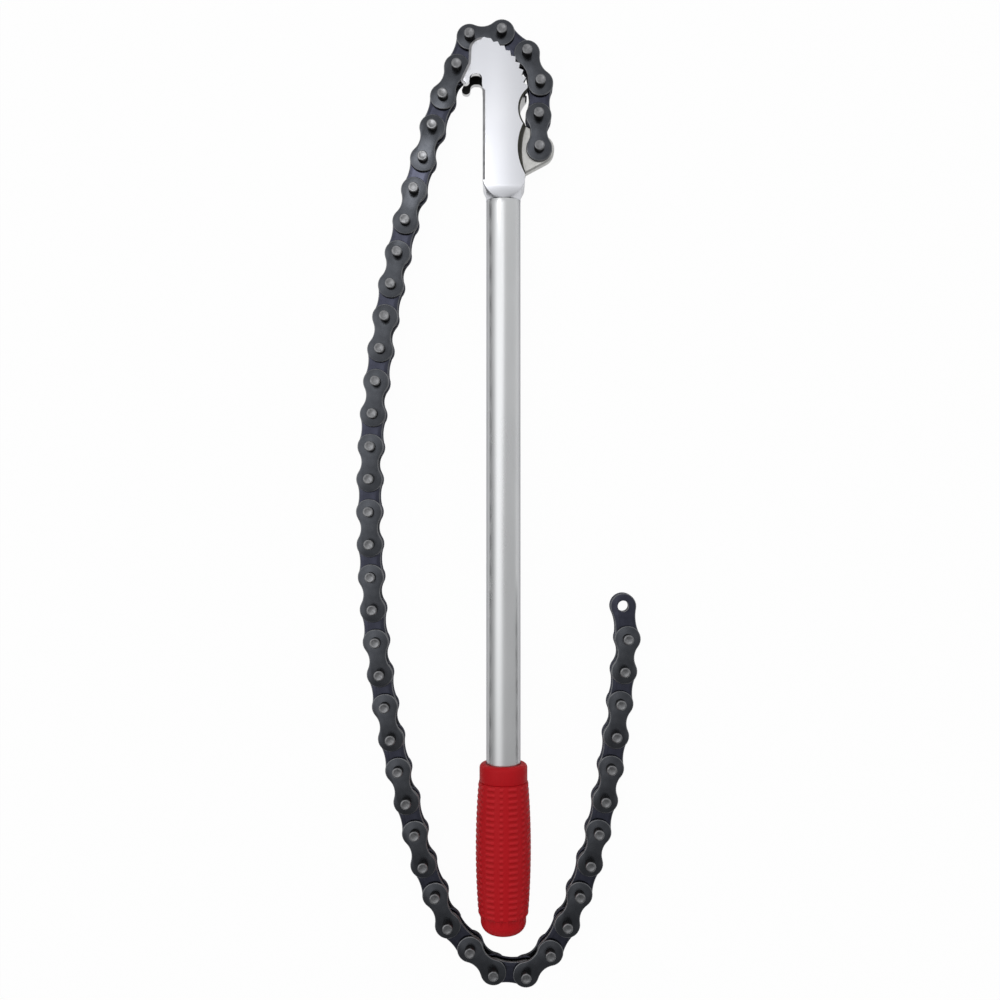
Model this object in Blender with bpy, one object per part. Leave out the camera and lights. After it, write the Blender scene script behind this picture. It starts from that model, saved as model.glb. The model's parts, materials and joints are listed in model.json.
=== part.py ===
"""A chain wrench lying flat, with its chain laid round the handle.

The handle runs along Y, with the jaw head at +Y and the grip at -Y. Z points up, and the wrench lies on z = 0
on its grip and on the ends of the chain's pins. Lengths are in metres and angles in radians. The layout is
worked out from the lug pin, where the chain is hinged to the head, and then centred on the floor.
"""

import math

import bmesh
import bpy
from mathutils import Vector
from mathutils.geometry import tessellate_polygon

# Chain: plates, pins and bushes
LINK_COUNT = 48
CHAIN_PITCH = 0.01905
PLATE_END_RADIUS = 0.0076
OUTER_PLATE_WAIST_HALF = 0.0049
INNER_PLATE_WAIST_HALF = 0.0061
PLATE_THICKNESS = 0.0016
INNER_LINK_WIDTH = 0.0074
PIN_RADIUS = 0.003
PIN_LENGTH = 0.0222
BUSH_WALL = 0.0011
RUNNING_GAP = 0.0003
PLATE_ARC_FROM = math.radians(50)
OUTER_PLATE_ARC_POINTS = 7
INNER_PLATE_ARC_POINTS = 6
BORE_SIDES = 8
PIN_SIDES = 6
PIN_END_SIDES = 8
BUSH_SIDES = 6

# Where the chain lies round the head: angles on the rounds of the teeth, the crown and the nose
CHAIN_TEETH_GAP = 0.0004
CHAIN_CROWN_GAP = 0.0016
CHAIN_NOSE_GAP = 0.0008
CHAIN_LEAVING_GAP = 0.0047
OVER_TEETH_ANGLES = (math.radians(10.4), math.radians(36.4), math.radians(62))
OVER_CROWN_ANGLE = math.radians(124)
BESIDE_NOSE_ANGLE = math.radians(115.6)
LEAVING_NOSE_ANGLE = math.radians(209.5)

# Where the chain lies down the left, round the grip and up the right. Beside the handle a place is given in chain
# pitches from the handle's axis and as a share of the way to the grip's end. Round the grip it is given from the
# grip's end on the axis, in shares of the bend's reach.
FIRST_LINK_SHARES = (-0.02, 0.98)
DOWN_LEFT_SHARES = [
    (-2.46, 0.0121),
    (-3.24, 0.1328),
    (-3.78, 0.2565),
    (-4.08, 0.3832),
    (-4.10, 0.5100),
    (-3.90, 0.6357),
    (-3.42, 0.7584),
    (-2.67, 0.8802),
]
ROUND_GRIP_SHARES = [
    (-1.68, 1.351),
    (-1.42, 0.711),
    (-1.14, 0.081),
    (-0.65, -0.409),
    (-0.15, -0.869),
    (0.54, -0.864),
    (1.04, -0.374),
    (1.39, 0.231),
]
UP_RIGHT_SHARES = [
    (2.68, 0.9088),
    (3.13, 0.8289),
    (3.46, 0.7474),
    (3.71, 0.6649),
    (3.81, 0.6237),
    (3.68, 0.5824),
    (3.52, 0.5412),
]
CHAIN_GRIP_GAP = 0.0035
ROUTE_STEPS = 200

# Jaw head: thicknesses
SLOT_SIDE_CLEARANCE = 0.0006
CHEEK_THICKNESS = 0.0045
HEAD_EDGE_ROUNDING = 0.0008
HEAD_EDGE_SEGMENTS = 2
HEAD_EDGE_PROFILE_SHARE = 0.5

# Jaw head: the cheek's outline, from the handle's axis (x) and from the lug pin (y)
HEAD_LEFT = 0.0120
HEAD_RIGHT = 0.0138
NECK_TOP = 0.0202
SHOULDER_BOTTOM = 0.0316
CUSP_X = 0.0125
CUSP_Y = 0.0121
SCALLOP_FOOT_Y = 0.0146
UPPER_SCALLOP_DEPTH = 0.0046
LOWER_SCALLOP_DEPTH = 0.0037
SCALLOP_POINTS = 7
TOOTH_ARC_X = 0.020
TOOTH_ARC_Y = 0.030
TOOTH_ARC_RADIUS = 0.0343
TOOTH_COUNT = 8
FIRST_TOOTH_ANGLE = math.radians(68.5)
LAST_TOOTH_ANGLE = math.radians(8)
FIRST_TOOTH_DEPTH = 0.0013
LAST_TOOTH_DEPTH = 0.0021
TOOTH_ROOT_SHARE = 0.55
CROWN_X = 0.0126
CROWN_Y = 0.0554
CROWN_RADIUS = 0.0074
CROWN_ARC_FROM = math.radians(66)
CROWN_ARC_TO = math.radians(184)
CROWN_POINTS = 7
FLANK_X = 0.0203
FLANK_Y = 0.0480
NOSE_X = 0.0222
NOSE_Y = 0.0382
NOSE_RADIUS = 0.0025
NOSE_ARC_FROM = math.radians(150)
NOSE_POINTS = 7
NOTCH_CLEARANCE = 0.0013
NOTCH_TOP = 0.0417
NOTCH_CORNER_RADIUS = 0.003
NOTCH_CORNER_POINTS = 4
NOTCH_LIP_DROP = 0.0025
SLOT_FLOOR = 0.0305
CUT_OVERRUN = 0.002

# Jaw head: the lug that carries the chain
LUG_X = 0.0209
LUG_RADIUS = 0.0089
LUG_SIDE_CLEARANCE = 0.0006
LUG_BORE_CLEARANCE = 0.00035
LUG_ROOT_X = 0.006
LUG_ROOT_TOP = 0.0175
LUG_ROOT_BOTTOM = 0.0180
LUG_SIDES = 24
LUG_BORE_SIDES = 12
LUG_LIFT = 0.0003

# Jaw head: the neck that turns from the flat head to the round tube, and the shank inside the tube
NECK_LENGTH = 0.0099
NECK_BURIED = 0.005
NECK_INSET = 0.0001
NECK_RINGS = 6
NECK_SIDES = 28
SHANK_LENGTH = 0.022

# Handle tube
TUBE_RADIUS = 0.010
TUBE_WALL = 0.002
TUBE_LENGTH = 0.4243
ROUND_SIDES = 20
NECK_SHOULDER = 0.0002

# Grip sleeve
GRIP_TUBE_COVER = 0.0956
GRIP_END_WALL = 0.0034
GRIP_COLLAR_RADIUS = 0.0140
GRIP_COLLAR_LENGTH = 0.0106
GRIP_MOUTH_ROUNDING = 0.0025
GRIP_RIB_RADIUS = 0.0146
GRIP_BELLY_RADIUS = 0.0162
GRIP_BELLY_SHARE = 0.5
GRIP_TAIL_LENGTH = 0.0118
GRIP_TAIL_RADIUS = 0.0133
GRIP_BUTT_ROUNDING = 0.0068
GRIP_BUTT_DOME = 0.0010
GRIP_RIB_STEP = 0.0004
GRIP_BELLY_STATIONS = 6
ROUNDING_STEPS = 3

MERGE_DISTANCE = 0.000001

# Worked out from the sizes above
CHAIN_WIDTH = INNER_LINK_WIDTH + 2 * (RUNNING_GAP + PLATE_THICKNESS)
SLOT_WIDTH = CHAIN_WIDTH + 2 * SLOT_SIDE_CLEARANCE
HEAD_THICKNESS = SLOT_WIDTH + 2 * CHEEK_THICKNESS
LUG_THICKNESS = INNER_LINK_WIDTH + 2 * RUNNING_GAP - 2 * LUG_SIDE_CLEARANCE
NOTCH_WIDTH = 2 * PIN_RADIUS + NOTCH_CLEARANCE
TUBE_START = -NECK_TOP - NECK_LENGTH - RUNNING_GAP
GRIP_START = TUBE_START - TUBE_LENGTH + GRIP_TUBE_COVER
GRIP_END = GRIP_START - GRIP_TUBE_COVER - RUNNING_GAP - GRIP_END_WALL
RIB_START = GRIP_START - GRIP_COLLAR_LENGTH
RIB_END = GRIP_END + GRIP_TAIL_LENGTH
GRIP_BELLY_Y = RIB_START + (RIB_END - RIB_START) * GRIP_BELLY_SHARE
BEND_REACH = GRIP_BELLY_RADIUS + CHAIN_GRIP_GAP + PLATE_END_RADIUS
CHAIN_MID_HEIGHT = PIN_LENGTH / 2


def clear_scene():
    for obj in list(bpy.data.objects):
        bpy.data.objects.remove(obj)


def make_material(name, colour, roughness, metallic):
    material = bpy.data.materials.new(name)
    material.use_nodes = True
    shader = material.node_tree.nodes["Principled BSDF"]
    shader.inputs["Base Color"].default_value = (*colour, 1)
    shader.inputs["Roughness"].default_value = roughness
    shader.inputs["Metallic"].default_value = metallic
    return material


def add_object(name, bm, material=None, parent=None):
    """Turns a bmesh into an object with its faces pointing out, shaded smooth but for its edges."""
    bmesh.ops.recalc_face_normals(bm, faces=bm.faces)
    mesh = bpy.data.meshes.new(name)
    bm.to_mesh(mesh)
    bm.free()
    mesh.shade_smooth()
    mesh.set_sharp_from_angle(angle=math.radians(35))
    if material:
        mesh.materials.append(material)
    obj = bpy.data.objects.new(name, mesh)
    bpy.context.scene.collection.objects.link(obj)
    obj.parent = parent
    return obj


def add_helper(name, bm, parent):
    """A solid that is only added to another or cut from it."""
    helper = add_object(name, bm, parent=parent)
    helper.hide_render = True
    helper.display_type = "WIRE"
    return helper


def add_empty(name, location, parent=None):
    empty = bpy.data.objects.new(name, None)
    bpy.context.scene.collection.objects.link(empty)
    empty.location = location
    empty.parent = parent
    return empty


def add_boolean(obj, helper, operation):
    modifier = obj.modifiers.new(helper.name, "BOOLEAN")
    modifier.operation = operation
    modifier.object = helper
    modifier.solver = "EXACT"


def polar(centre_x, centre_y, radius, angle):
    return (centre_x + radius * math.cos(angle), centre_y + radius * math.sin(angle))


def arc(centre_x, centre_y, radius, start, end, count):
    """Points on an arc, both ends included."""
    points = []
    for i in range(count):
        angle = start + (end - start) * i / (count - 1)
        points.append(polar(centre_x, centre_y, radius, angle))
    return points


def scallop(start, end, depth, count):
    """The inner points of an arc from start to end that bows to the right of that way by depth."""
    a = Vector(start)
    b = Vector(end)
    chord = b - a
    half = chord.length / 2
    radius = (half * half + depth * depth) / (2 * depth)
    right = Vector((chord.y, -chord.x)).normalized()
    centre = (a + b) / 2 + right * (depth - radius)
    first = math.atan2(a.y - centre.y, a.x - centre.x)
    sweep = 2 * math.asin(min(half / radius, 1))
    return arc(centre.x, centre.y, radius, first, first + sweep, count)[1:-1]


def ring(bm, points, z):
    return [bm.verts.new((x, y, z)) for x, y in points]


def circle(centre_x, radius, sides):
    """A polygon round the joint axis at centre_x on the link's line, with its corners on the radius."""
    return arc(centre_x, 0, radius, 0, 2 * math.pi, sides + 1)[:-1]


def add_wall(bm, lower, upper):
    for i, corner in enumerate(lower):
        j = (i + 1) % len(lower)
        bm.faces.new((corner, lower[j], upper[j], upper[i]))


def add_holed_face(bm, outline, holes):
    """A flat face with holes, as triangles."""
    loops = [outline, *holes]
    corners = [vert for loop in loops for vert in loop]
    for triangle in tessellate_polygon([[vert.co for vert in loop] for loop in loops]):
        bm.faces.new([corners[i] for i in triangle])


def plate_outline(arc_points, waist_half):
    """A link plate's figure-of-eight outline, from the first pivot at 0 to the second at one pitch."""
    arc_end = 2 * math.pi - PLATE_ARC_FROM
    first_end = arc(0, 0, PLATE_END_RADIUS, PLATE_ARC_FROM, arc_end, arc_points)
    second_end = [(CHAIN_PITCH - x, -y) for x, y in first_end]
    waist_x = CHAIN_PITCH / 2
    return [*first_end, (waist_x, -waist_half), *second_end, (waist_x, waist_half)]


def outer_link_bmesh():
    """Two plates held apart by two pins, whose ends stand out on both sides for the jaw to hook."""
    bm = bmesh.new()
    outline = plate_outline(OUTER_PLATE_ARC_POINTS, OUTER_PLATE_WAIST_HALF)
    pivots = (0, CHAIN_PITCH)
    outside = CHAIN_WIDTH / 2
    inside = outside - PLATE_THICKNESS
    middle_rings = []
    for side in (-1, 1):
        outer_ring = ring(bm, outline, side * outside)
        inner_ring = ring(bm, outline, side * inside)
        add_wall(bm, inner_ring, outer_ring)
        roots = [ring(bm, circle(x, PIN_RADIUS, PIN_END_SIDES), side * outside) for x in pivots]
        tips = [ring(bm, circle(x, PIN_RADIUS, PIN_END_SIDES), side * PIN_LENGTH / 2) for x in pivots]
        for root, tip in zip(roots, tips):
            add_wall(bm, root, tip)
            bm.faces.new(tip)
        add_holed_face(bm, outer_ring, roots)
        middles = [ring(bm, circle(x, PIN_RADIUS, PIN_SIDES), side * inside) for x in pivots]
        add_holed_face(bm, inner_ring, middles)
        middle_rings.append(middles)
    for lower, upper in zip(*middle_rings):
        add_wall(bm, lower, upper)
    return bm


def inner_link_bmesh():
    """Two plates held apart by two bushes, each with a bore in which a pin turns."""
    bm = bmesh.new()
    outline = plate_outline(INNER_PLATE_ARC_POINTS, INNER_PLATE_WAIST_HALF)
    pivots = (0, CHAIN_PITCH)
    outside = INNER_LINK_WIDTH / 2
    inside = outside - PLATE_THICKNESS
    bore_radius = (PIN_RADIUS + RUNNING_GAP) / math.cos(math.pi / BORE_SIDES)
    bush_radius = bore_radius + BUSH_WALL
    bore_rings = []
    bush_rings = []
    for side in (-1, 1):
        outer_ring = ring(bm, outline, side * outside)
        inner_ring = ring(bm, outline, side * inside)
        add_wall(bm, inner_ring, outer_ring)
        bores = [ring(bm, circle(x, bore_radius, BORE_SIDES), side * outside) for x in pivots]
        bushes = [ring(bm, circle(x, bush_radius, BUSH_SIDES), side * inside) for x in pivots]
        add_holed_face(bm, outer_ring, bores)
        add_holed_face(bm, inner_ring, bushes)
        bore_rings.append(bores)
        bush_rings.append(bushes)
    for rings in (bore_rings, bush_rings):
        for lower, upper in zip(*rings):
            add_wall(bm, lower, upper)
    return bm


def route_places():
    """The places that the chain's centre line passes, from the handle's axis and the lug pin."""
    lean, rise = FIRST_LINK_SHARES
    over_teeth = TOOTH_ARC_RADIUS + PLATE_END_RADIUS + CHAIN_TEETH_GAP
    over_crown = CROWN_RADIUS + PIN_RADIUS + CHAIN_CROWN_GAP
    beside_nose = NOSE_RADIUS + PLATE_END_RADIUS + CHAIN_NOSE_GAP
    leaving_nose = NOSE_RADIUS + PLATE_END_RADIUS + CHAIN_LEAVING_GAP
    return [
        (LUG_X, 0),
        (LUG_X + lean * CHAIN_PITCH, rise * CHAIN_PITCH),
        *[polar(-TOOTH_ARC_X, TOOTH_ARC_Y, over_teeth, angle) for angle in OVER_TEETH_ANGLES],
        polar(-CROWN_X, CROWN_Y, over_crown, OVER_CROWN_ANGLE),
        polar(-NOSE_X, NOSE_Y, beside_nose, BESIDE_NOSE_ANGLE),
        polar(-NOSE_X, NOSE_Y, leaving_nose, LEAVING_NOSE_ANGLE),
        *[(x * CHAIN_PITCH, y * GRIP_END) for x, y in DOWN_LEFT_SHARES],
        *[(x * BEND_REACH, GRIP_END + y * BEND_REACH) for x, y in ROUND_GRIP_SHARES],
        *[(x * CHAIN_PITCH, y * GRIP_END) for x, y in UP_RIGHT_SHARES],
    ]


def route_curve():
    """The chain's centre line, as close points on a smooth curve through the route's places."""
    places = [Vector((x - LUG_X, y)) for x, y in route_places()]
    before = places[0] * 2 - places[1]
    after = places[-1] * 2 - places[-2]
    places = [before, *places, after]
    curve = []
    for i in range(1, len(places) - 2):
        a, b, c, d = places[i - 1 : i + 3]
        span = (c - b).length
        slope_b = (c - a) / ((c - a).length) * span
        slope_c = (d - b) / ((d - b).length) * span
        for step in range(ROUTE_STEPS):
            t = step / ROUTE_STEPS
            curve.append(
                b * (2 * t**3 - 3 * t**2 + 1)
                + slope_b * (t**3 - 2 * t**2 + t)
                + c * (3 * t**2 - 2 * t**3)
                + slope_c * (t**3 - t**2)
            )
    return curve


def chain_pivots():
    """The joints' places: each lies one pitch from the last, where the curve next gets that far away."""
    curve = route_curve()
    pivots = [curve[0]]
    for near, far in zip(curve, curve[1:]):
        if len(pivots) > LINK_COUNT:
            break
        near_distance = (near - pivots[-1]).length
        far_distance = (far - pivots[-1]).length
        if far_distance >= CHAIN_PITCH:
            share = (CHAIN_PITCH - near_distance) / (far_distance - near_distance)
            pivots.append(near.lerp(far, share))
    while len(pivots) <= LINK_COUNT:
        pivots.append(pivots[-1] * 2 - pivots[-2])
    return pivots


def add_chain(lug_pin, steel, blued_steel):
    """The links in a row, each hinged on the one before it."""
    outer = add_object("outer_link", outer_link_bmesh(), steel)
    inner = add_object("inner_link", inner_link_bmesh(), blued_steel)
    pivots = chain_pivots()
    parent = lug_pin
    last_heading = 0
    for i in range(LINK_COUNT):
        step = pivots[i + 1] - pivots[i]
        heading = math.atan2(step.y, step.x)
        pattern = inner if i % 2 else outer
        link = bpy.data.objects.new(f"{pattern.name}_{i + 1:02d}", pattern.data)
        bpy.context.scene.collection.objects.link(link)
        link.parent = parent
        link.location = (CHAIN_PITCH if i else 0, 0, 0)
        link.rotation_euler.z = heading - last_heading
        parent = link
        last_heading = heading
    for pattern in (outer, inner):
        bpy.data.objects.remove(pattern)


def tooth_points():
    """The saw teeth over the head's crown: each tip lies on the tooth arc, and each root inside it."""
    tips = arc(
        -TOOTH_ARC_X, TOOTH_ARC_Y, TOOTH_ARC_RADIUS, FIRST_TOOTH_ANGLE, LAST_TOOTH_ANGLE, TOOTH_COUNT + 1
    )
    deepening = (LAST_TOOTH_DEPTH - FIRST_TOOTH_DEPTH) / (TOOTH_COUNT - 1)
    points = []
    for i in range(TOOTH_COUNT):
        tip = tips[i]
        edge = Vector(tips[i + 1]) - Vector(tip)
        inwards = Vector((edge.y, -edge.x)).normalized()
        root = Vector(tip) + edge * TOOTH_ROOT_SHARE + inwards * (FIRST_TOOTH_DEPTH + deepening * i)
        points += [tip, tuple(root)]
    return [*points, tips[-1]]


def cheek_outline():
    """The cheek's outline, clockwise from the crown: teeth, shoulder, scallops, neck, left edge, notch, nose."""
    notch_left = -NOSE_X + NOSE_RADIUS
    notch_right = notch_left + NOTCH_WIDTH
    corner_y = NOTCH_TOP - NOTCH_CORNER_RADIUS
    quarter = math.pi / 2
    crown = arc(-CROWN_X, CROWN_Y, CROWN_RADIUS, CROWN_ARC_TO, CROWN_ARC_FROM, CROWN_POINTS)
    shoulder_foot = (HEAD_RIGHT, SHOULDER_BOTTOM)
    cusp = (CUSP_X, CUSP_Y)
    scallop_foot = (CUSP_X, -SCALLOP_FOOT_Y)
    upper_scallop = scallop(shoulder_foot, cusp, UPPER_SCALLOP_DEPTH, SCALLOP_POINTS)
    lower_scallop = scallop(cusp, scallop_foot, LOWER_SCALLOP_DEPTH, SCALLOP_POINTS)
    notch_right_corner = arc(
        notch_right - NOTCH_CORNER_RADIUS, corner_y, NOTCH_CORNER_RADIUS, 0, quarter, NOTCH_CORNER_POINTS
    )
    notch_left_corner = arc(
        notch_left + NOTCH_CORNER_RADIUS, corner_y, NOTCH_CORNER_RADIUS, quarter, 2 * quarter, NOTCH_CORNER_POINTS
    )
    nose = arc(-NOSE_X, NOSE_Y, NOSE_RADIUS, 0, NOSE_ARC_FROM - 2 * math.pi, NOSE_POINTS)
    lip_y = NOSE_Y - NOSE_RADIUS
    return [
        *crown,
        *tooth_points(),
        shoulder_foot,
        *upper_scallop,
        cusp,
        *lower_scallop,
        scallop_foot,
        (CUSP_X, -NECK_TOP),
        (-HEAD_LEFT, -NECK_TOP),
        (-HEAD_LEFT, lip_y - NOTCH_LIP_DROP),
        (notch_right, lip_y),
        *notch_right_corner,
        *notch_left_corner,
        *nose,
        (-FLANK_X, FLANK_Y),
    ]


def prism(outline, thickness):
    """A flat outline made thick, centred on z = 0."""
    bm = bmesh.new()
    lower = ring(bm, outline, -thickness / 2)
    upper = ring(bm, outline, thickness / 2)
    add_wall(bm, lower, upper)
    bm.faces.new(lower)
    bm.faces.new(upper)
    bmesh.ops.recalc_face_normals(bm, faces=bm.faces)
    return bm


def round_head_edges(bm):
    """Rounds the long outline edges, but not the teeth, the notch or the edge that the neck joins."""
    notch_floor = NOSE_Y - NOSE_RADIUS - NOTCH_LIP_DROP
    edges = []
    for edge in bm.edges:
        a, b = (vert.co for vert in edge.verts)
        middle = (a + b) / 2
        if abs(a.z - b.z) > MERGE_DISTANCE:
            continue
        on_left_edge = middle.x < -HEAD_LEFT + MERGE_DISTANCE and middle.y < notch_floor
        on_nose = middle.x < -NOSE_X and middle.y > NOSE_Y - NOSE_RADIUS
        on_crown = middle.x < -CROWN_X and middle.y > NOTCH_TOP
        on_scallop = middle.x > 0 and -SCALLOP_FOOT_Y < middle.y < SHOULDER_BOTTOM
        if on_left_edge or on_nose or on_crown or on_scallop:
            edges.append(edge)
    bmesh.ops.bevel(
        bm,
        geom=edges,
        offset=HEAD_EDGE_ROUNDING,
        segments=HEAD_EDGE_SEGMENTS,
        profile=HEAD_EDGE_PROFILE_SHARE,
        affect="EDGES",
        clamp_overlap=True,
    )


def lug_outline():
    """The lug's round end, with straight sides that run back into the head."""
    rounds = arc(LUG_X, 0, LUG_RADIUS, 0, 2 * math.pi, LUG_SIDES + 1)[:-1]
    top = (LUG_ROOT_X, LUG_ROOT_TOP)
    bottom = (LUG_ROOT_X, -LUG_ROOT_BOTTOM)

    def tangent_angle(root, side):
        offset = Vector(root) - Vector((LUG_X, 0))
        return math.atan2(offset.y, offset.x) - side * math.acos(LUG_RADIUS / offset.length)

    upper = tangent_angle(top, 1)
    lower = tangent_angle(bottom, -1)
    kept = []
    for x, y in rounds:
        angle = math.atan2(y, x - LUG_X)
        if lower < angle < upper:
            kept.append((angle, (x, y)))
    kept.sort()
    return [bottom, *(point for angle, point in kept), top]


def neck_section(share):
    """The neck's section at a share of its length: a rectangle with its corners turned off by a shrinking round."""
    tube_end_radius = TUBE_RADIUS + NECK_SHOULDER
    half_width = (HEAD_LEFT + CUSP_X) / 2 - NECK_INSET
    half_height = HEAD_THICKNESS / 2 - NECK_INSET
    corner = math.hypot(half_width, half_height)
    turned_radius = tube_end_radius + (corner - tube_end_radius) * (1 - share * share)
    width_here = half_width + (tube_end_radius - half_width) * share * share
    points = []
    for i in range(NECK_SIDES):
        angle = 2 * math.pi * (i + 0.5) / NECK_SIDES
        reach = min(turned_radius, width_here / abs(math.cos(angle)), half_height / abs(math.sin(angle)))
        points.append((reach * math.cos(angle), reach * math.sin(angle)))
    return points


def neck_bmesh():
    """A loft from the flat head's section to the tube's round one, and the shank below it."""
    shank_radius = TUBE_RADIUS - TUBE_WALL - RUNNING_GAP
    neck_end = -NECK_TOP - NECK_LENGTH
    middle_x = (CUSP_X - HEAD_LEFT) / 2
    sections = [(-NECK_TOP + NECK_BURIED, middle_x, neck_section(0))]
    for i in range(NECK_RINGS):
        share = i / (NECK_RINGS - 1)
        sections.append((-NECK_TOP - NECK_LENGTH * share, middle_x * (1 - share), neck_section(share)))
    shank = arc(0, 0, shank_radius, 0, 2 * math.pi, NECK_SIDES + 1)[:-1]
    sections.append((neck_end, 0, shank))
    sections.append((neck_end - SHANK_LENGTH, 0, shank))
    bm = bmesh.new()
    rings = []
    for y, centre_x, outline in sections:
        rings.append([bm.verts.new((centre_x + x, y, z)) for x, z in outline])
    for lower, upper in zip(rings, rings[1:]):
        add_wall(bm, lower, upper)
    bm.faces.new(rings[0])
    bm.faces.new(rings[-1])
    return bm


def add_jaw_head(wrench, nickel):
    """One forging: two cheeks with the chain's slot between them, the lug, the neck and its shank."""
    body = prism(cheek_outline(), HEAD_THICKNESS)
    round_head_edges(body)
    head = add_object("jaw_head", body, nickel, wrench)

    slot_top = CROWN_Y + CROWN_RADIUS + CUT_OVERRUN
    slot_left = -NOSE_X - NOSE_RADIUS - CUT_OVERRUN
    slot_right = HEAD_RIGHT + CUT_OVERRUN
    slot = [(slot_left, SLOT_FLOOR), (slot_right, SLOT_FLOOR), (slot_right, slot_top), (slot_left, slot_top)]
    add_boolean(head, add_helper("chain_slot_cut", prism(slot, SLOT_WIDTH), wrench), "DIFFERENCE")

    add_boolean(head, add_helper("lug_blank", prism(lug_outline(), LUG_THICKNESS), wrench), "UNION")
    bore_radius = (PIN_RADIUS + LUG_BORE_CLEARANCE) / math.cos(math.pi / LUG_BORE_SIDES)
    bore = arc(LUG_X, 0, bore_radius, 0, 2 * math.pi, LUG_BORE_SIDES + 1)[:-1]
    bore_cut = prism(bore, LUG_THICKNESS + 2 * CUT_OVERRUN)
    add_boolean(head, add_helper("lug_bore_cut", bore_cut, wrench), "DIFFERENCE")
    add_boolean(head, add_helper("neck_blank", neck_bmesh(), wrench), "UNION")
    return head


def turned(profile, closed):
    """A profile of (radius, y) turned once round the Y axis. A closed profile makes a tube."""
    bm = bmesh.new()
    verts = [bm.verts.new((radius, y, 0)) for radius, y in profile]
    edges = [bm.edges.new(pair) for pair in zip(verts, verts[1:])]
    if closed:
        edges.append(bm.edges.new((verts[-1], verts[0])))
    bmesh.ops.spin(
        bm, geom=edges, cent=(0, 0, 0), axis=(0, 1, 0), angle=2 * math.pi, steps=ROUND_SIDES, use_merge=True
    )
    bmesh.ops.remove_doubles(bm, verts=bm.verts, dist=MERGE_DISTANCE)
    return bm


def add_handle_tube(wrench, chrome):
    bore = TUBE_RADIUS - TUBE_WALL
    end = TUBE_START - TUBE_LENGTH
    profile = [(TUBE_RADIUS, TUBE_START), (TUBE_RADIUS, end), (bore, end), (bore, TUBE_START)]
    return add_object("handle_tube", turned(profile, True), chrome, wrench)


def grip_belly():
    """The ribbed zone's outer line, fullest at the belly."""
    points = []
    for i in range(GRIP_BELLY_STATIONS + 1):
        share = i / GRIP_BELLY_STATIONS
        reach = GRIP_BELLY_SHARE if share < GRIP_BELLY_SHARE else 1 - GRIP_BELLY_SHARE
        away = abs(share - GRIP_BELLY_SHARE) / reach
        radius = GRIP_BELLY_RADIUS - (GRIP_BELLY_RADIUS - GRIP_RIB_RADIUS) * away * away
        points.append((radius, RIB_START + (RIB_END - RIB_START) * share))
    return points


def add_grip_sleeve(wrench, rubber):
    """A blind sleeve pushed over the tube's end: mouth, smooth collar, full ribbed zone and rounded butt."""
    bore = TUBE_RADIUS + RUNNING_GAP
    bore_end = TUBE_START - TUBE_LENGTH - RUNNING_GAP
    quarter = math.pi / 2
    mouth = arc(
        GRIP_COLLAR_RADIUS - GRIP_MOUTH_ROUNDING,
        GRIP_START - GRIP_MOUTH_ROUNDING,
        GRIP_MOUTH_ROUNDING,
        quarter,
        0,
        ROUNDING_STEPS + 1,
    )
    butt = arc(
        GRIP_TAIL_RADIUS - GRIP_BUTT_ROUNDING,
        GRIP_END + GRIP_BUTT_DOME + GRIP_BUTT_ROUNDING,
        GRIP_BUTT_ROUNDING,
        0,
        -quarter,
        ROUNDING_STEPS + 1,
    )
    profile = [
        (0, bore_end),
        (bore, bore_end),
        (bore, GRIP_START),
        *mouth,
        (GRIP_COLLAR_RADIUS, RIB_START + GRIP_RIB_STEP),
        *grip_belly(),
        (GRIP_TAIL_RADIUS, RIB_END - GRIP_RIB_STEP),
        *butt,
        (0, GRIP_END),
    ]
    return add_object("grip_sleeve", turned(profile, False), rubber, wrench)


def solids():
    return [obj for obj in bpy.context.scene.objects if obj.type == "MESH" and not obj.hide_render]


def centre_on_floor(lay):
    """Moves the whole layout so that the middle of its box is over the origin and its lowest point on z = 0."""
    bpy.context.view_layer.update()
    graph = bpy.context.evaluated_depsgraph_get()
    lowest = Vector((math.inf, math.inf, math.inf))
    highest = -lowest
    for obj in solids():
        evaluated = obj.evaluated_get(graph)
        for vert in evaluated.data.vertices:
            place = evaluated.matrix_world @ vert.co
            lowest = Vector(map(min, lowest, place))
            highest = Vector(map(max, highest, place))
    middle = (lowest + highest) / 2
    lay.location = (-middle.x, -middle.y, -lowest.z)


def main():
    clear_scene()
    nickel = make_material("satin_nickel", (0.72, 0.72, 0.74), 0.28, 1)
    chrome = make_material("brushed_chrome", (0.62, 0.63, 0.64), 0.32, 1)
    rubber = make_material("red_rubber", (0.50, 0.012, 0.02), 0.55, 0)
    steel = make_material("black_oxide_steel", (0.045, 0.046, 0.048), 0.45, 1)
    blued_steel = make_material("blued_steel", (0.045, 0.044, 0.060), 0.42, 1)

    lay = add_empty("lay", (0, 0, 0))
    wrench = add_empty("wrench", (-LUG_X, 0, CHAIN_MID_HEIGHT + LUG_LIFT), lay)
    handle_rise = GRIP_BELLY_RADIUS - CHAIN_MID_HEIGHT - LUG_LIFT
    wrench.rotation_euler.x = -math.asin(handle_rise / -GRIP_BELLY_Y)
    add_jaw_head(wrench, nickel)
    add_handle_tube(wrench, chrome)
    add_grip_sleeve(wrench, rubber)
    lug_pin = add_empty("lug_pin", (0, 0, CHAIN_MID_HEIGHT), lay)
    add_chain(lug_pin, steel, blued_steel)
    centre_on_floor(lay)


main()
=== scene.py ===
"""The look of a chain wrench that lies on a pale floor, seen from straight above.

The chain's links, the jaw head, the tube and the grip are modelled again with their fine forms, on the
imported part's joints. Lengths are in metres, in the part's own frame: +Y runs along the handle to the jaw
head and +Z is up.
"""

import json
import math

import bmesh
import bpy
from mathutils import Matrix, Vector
from mathutils.geometry import tessellate_polygon


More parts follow.
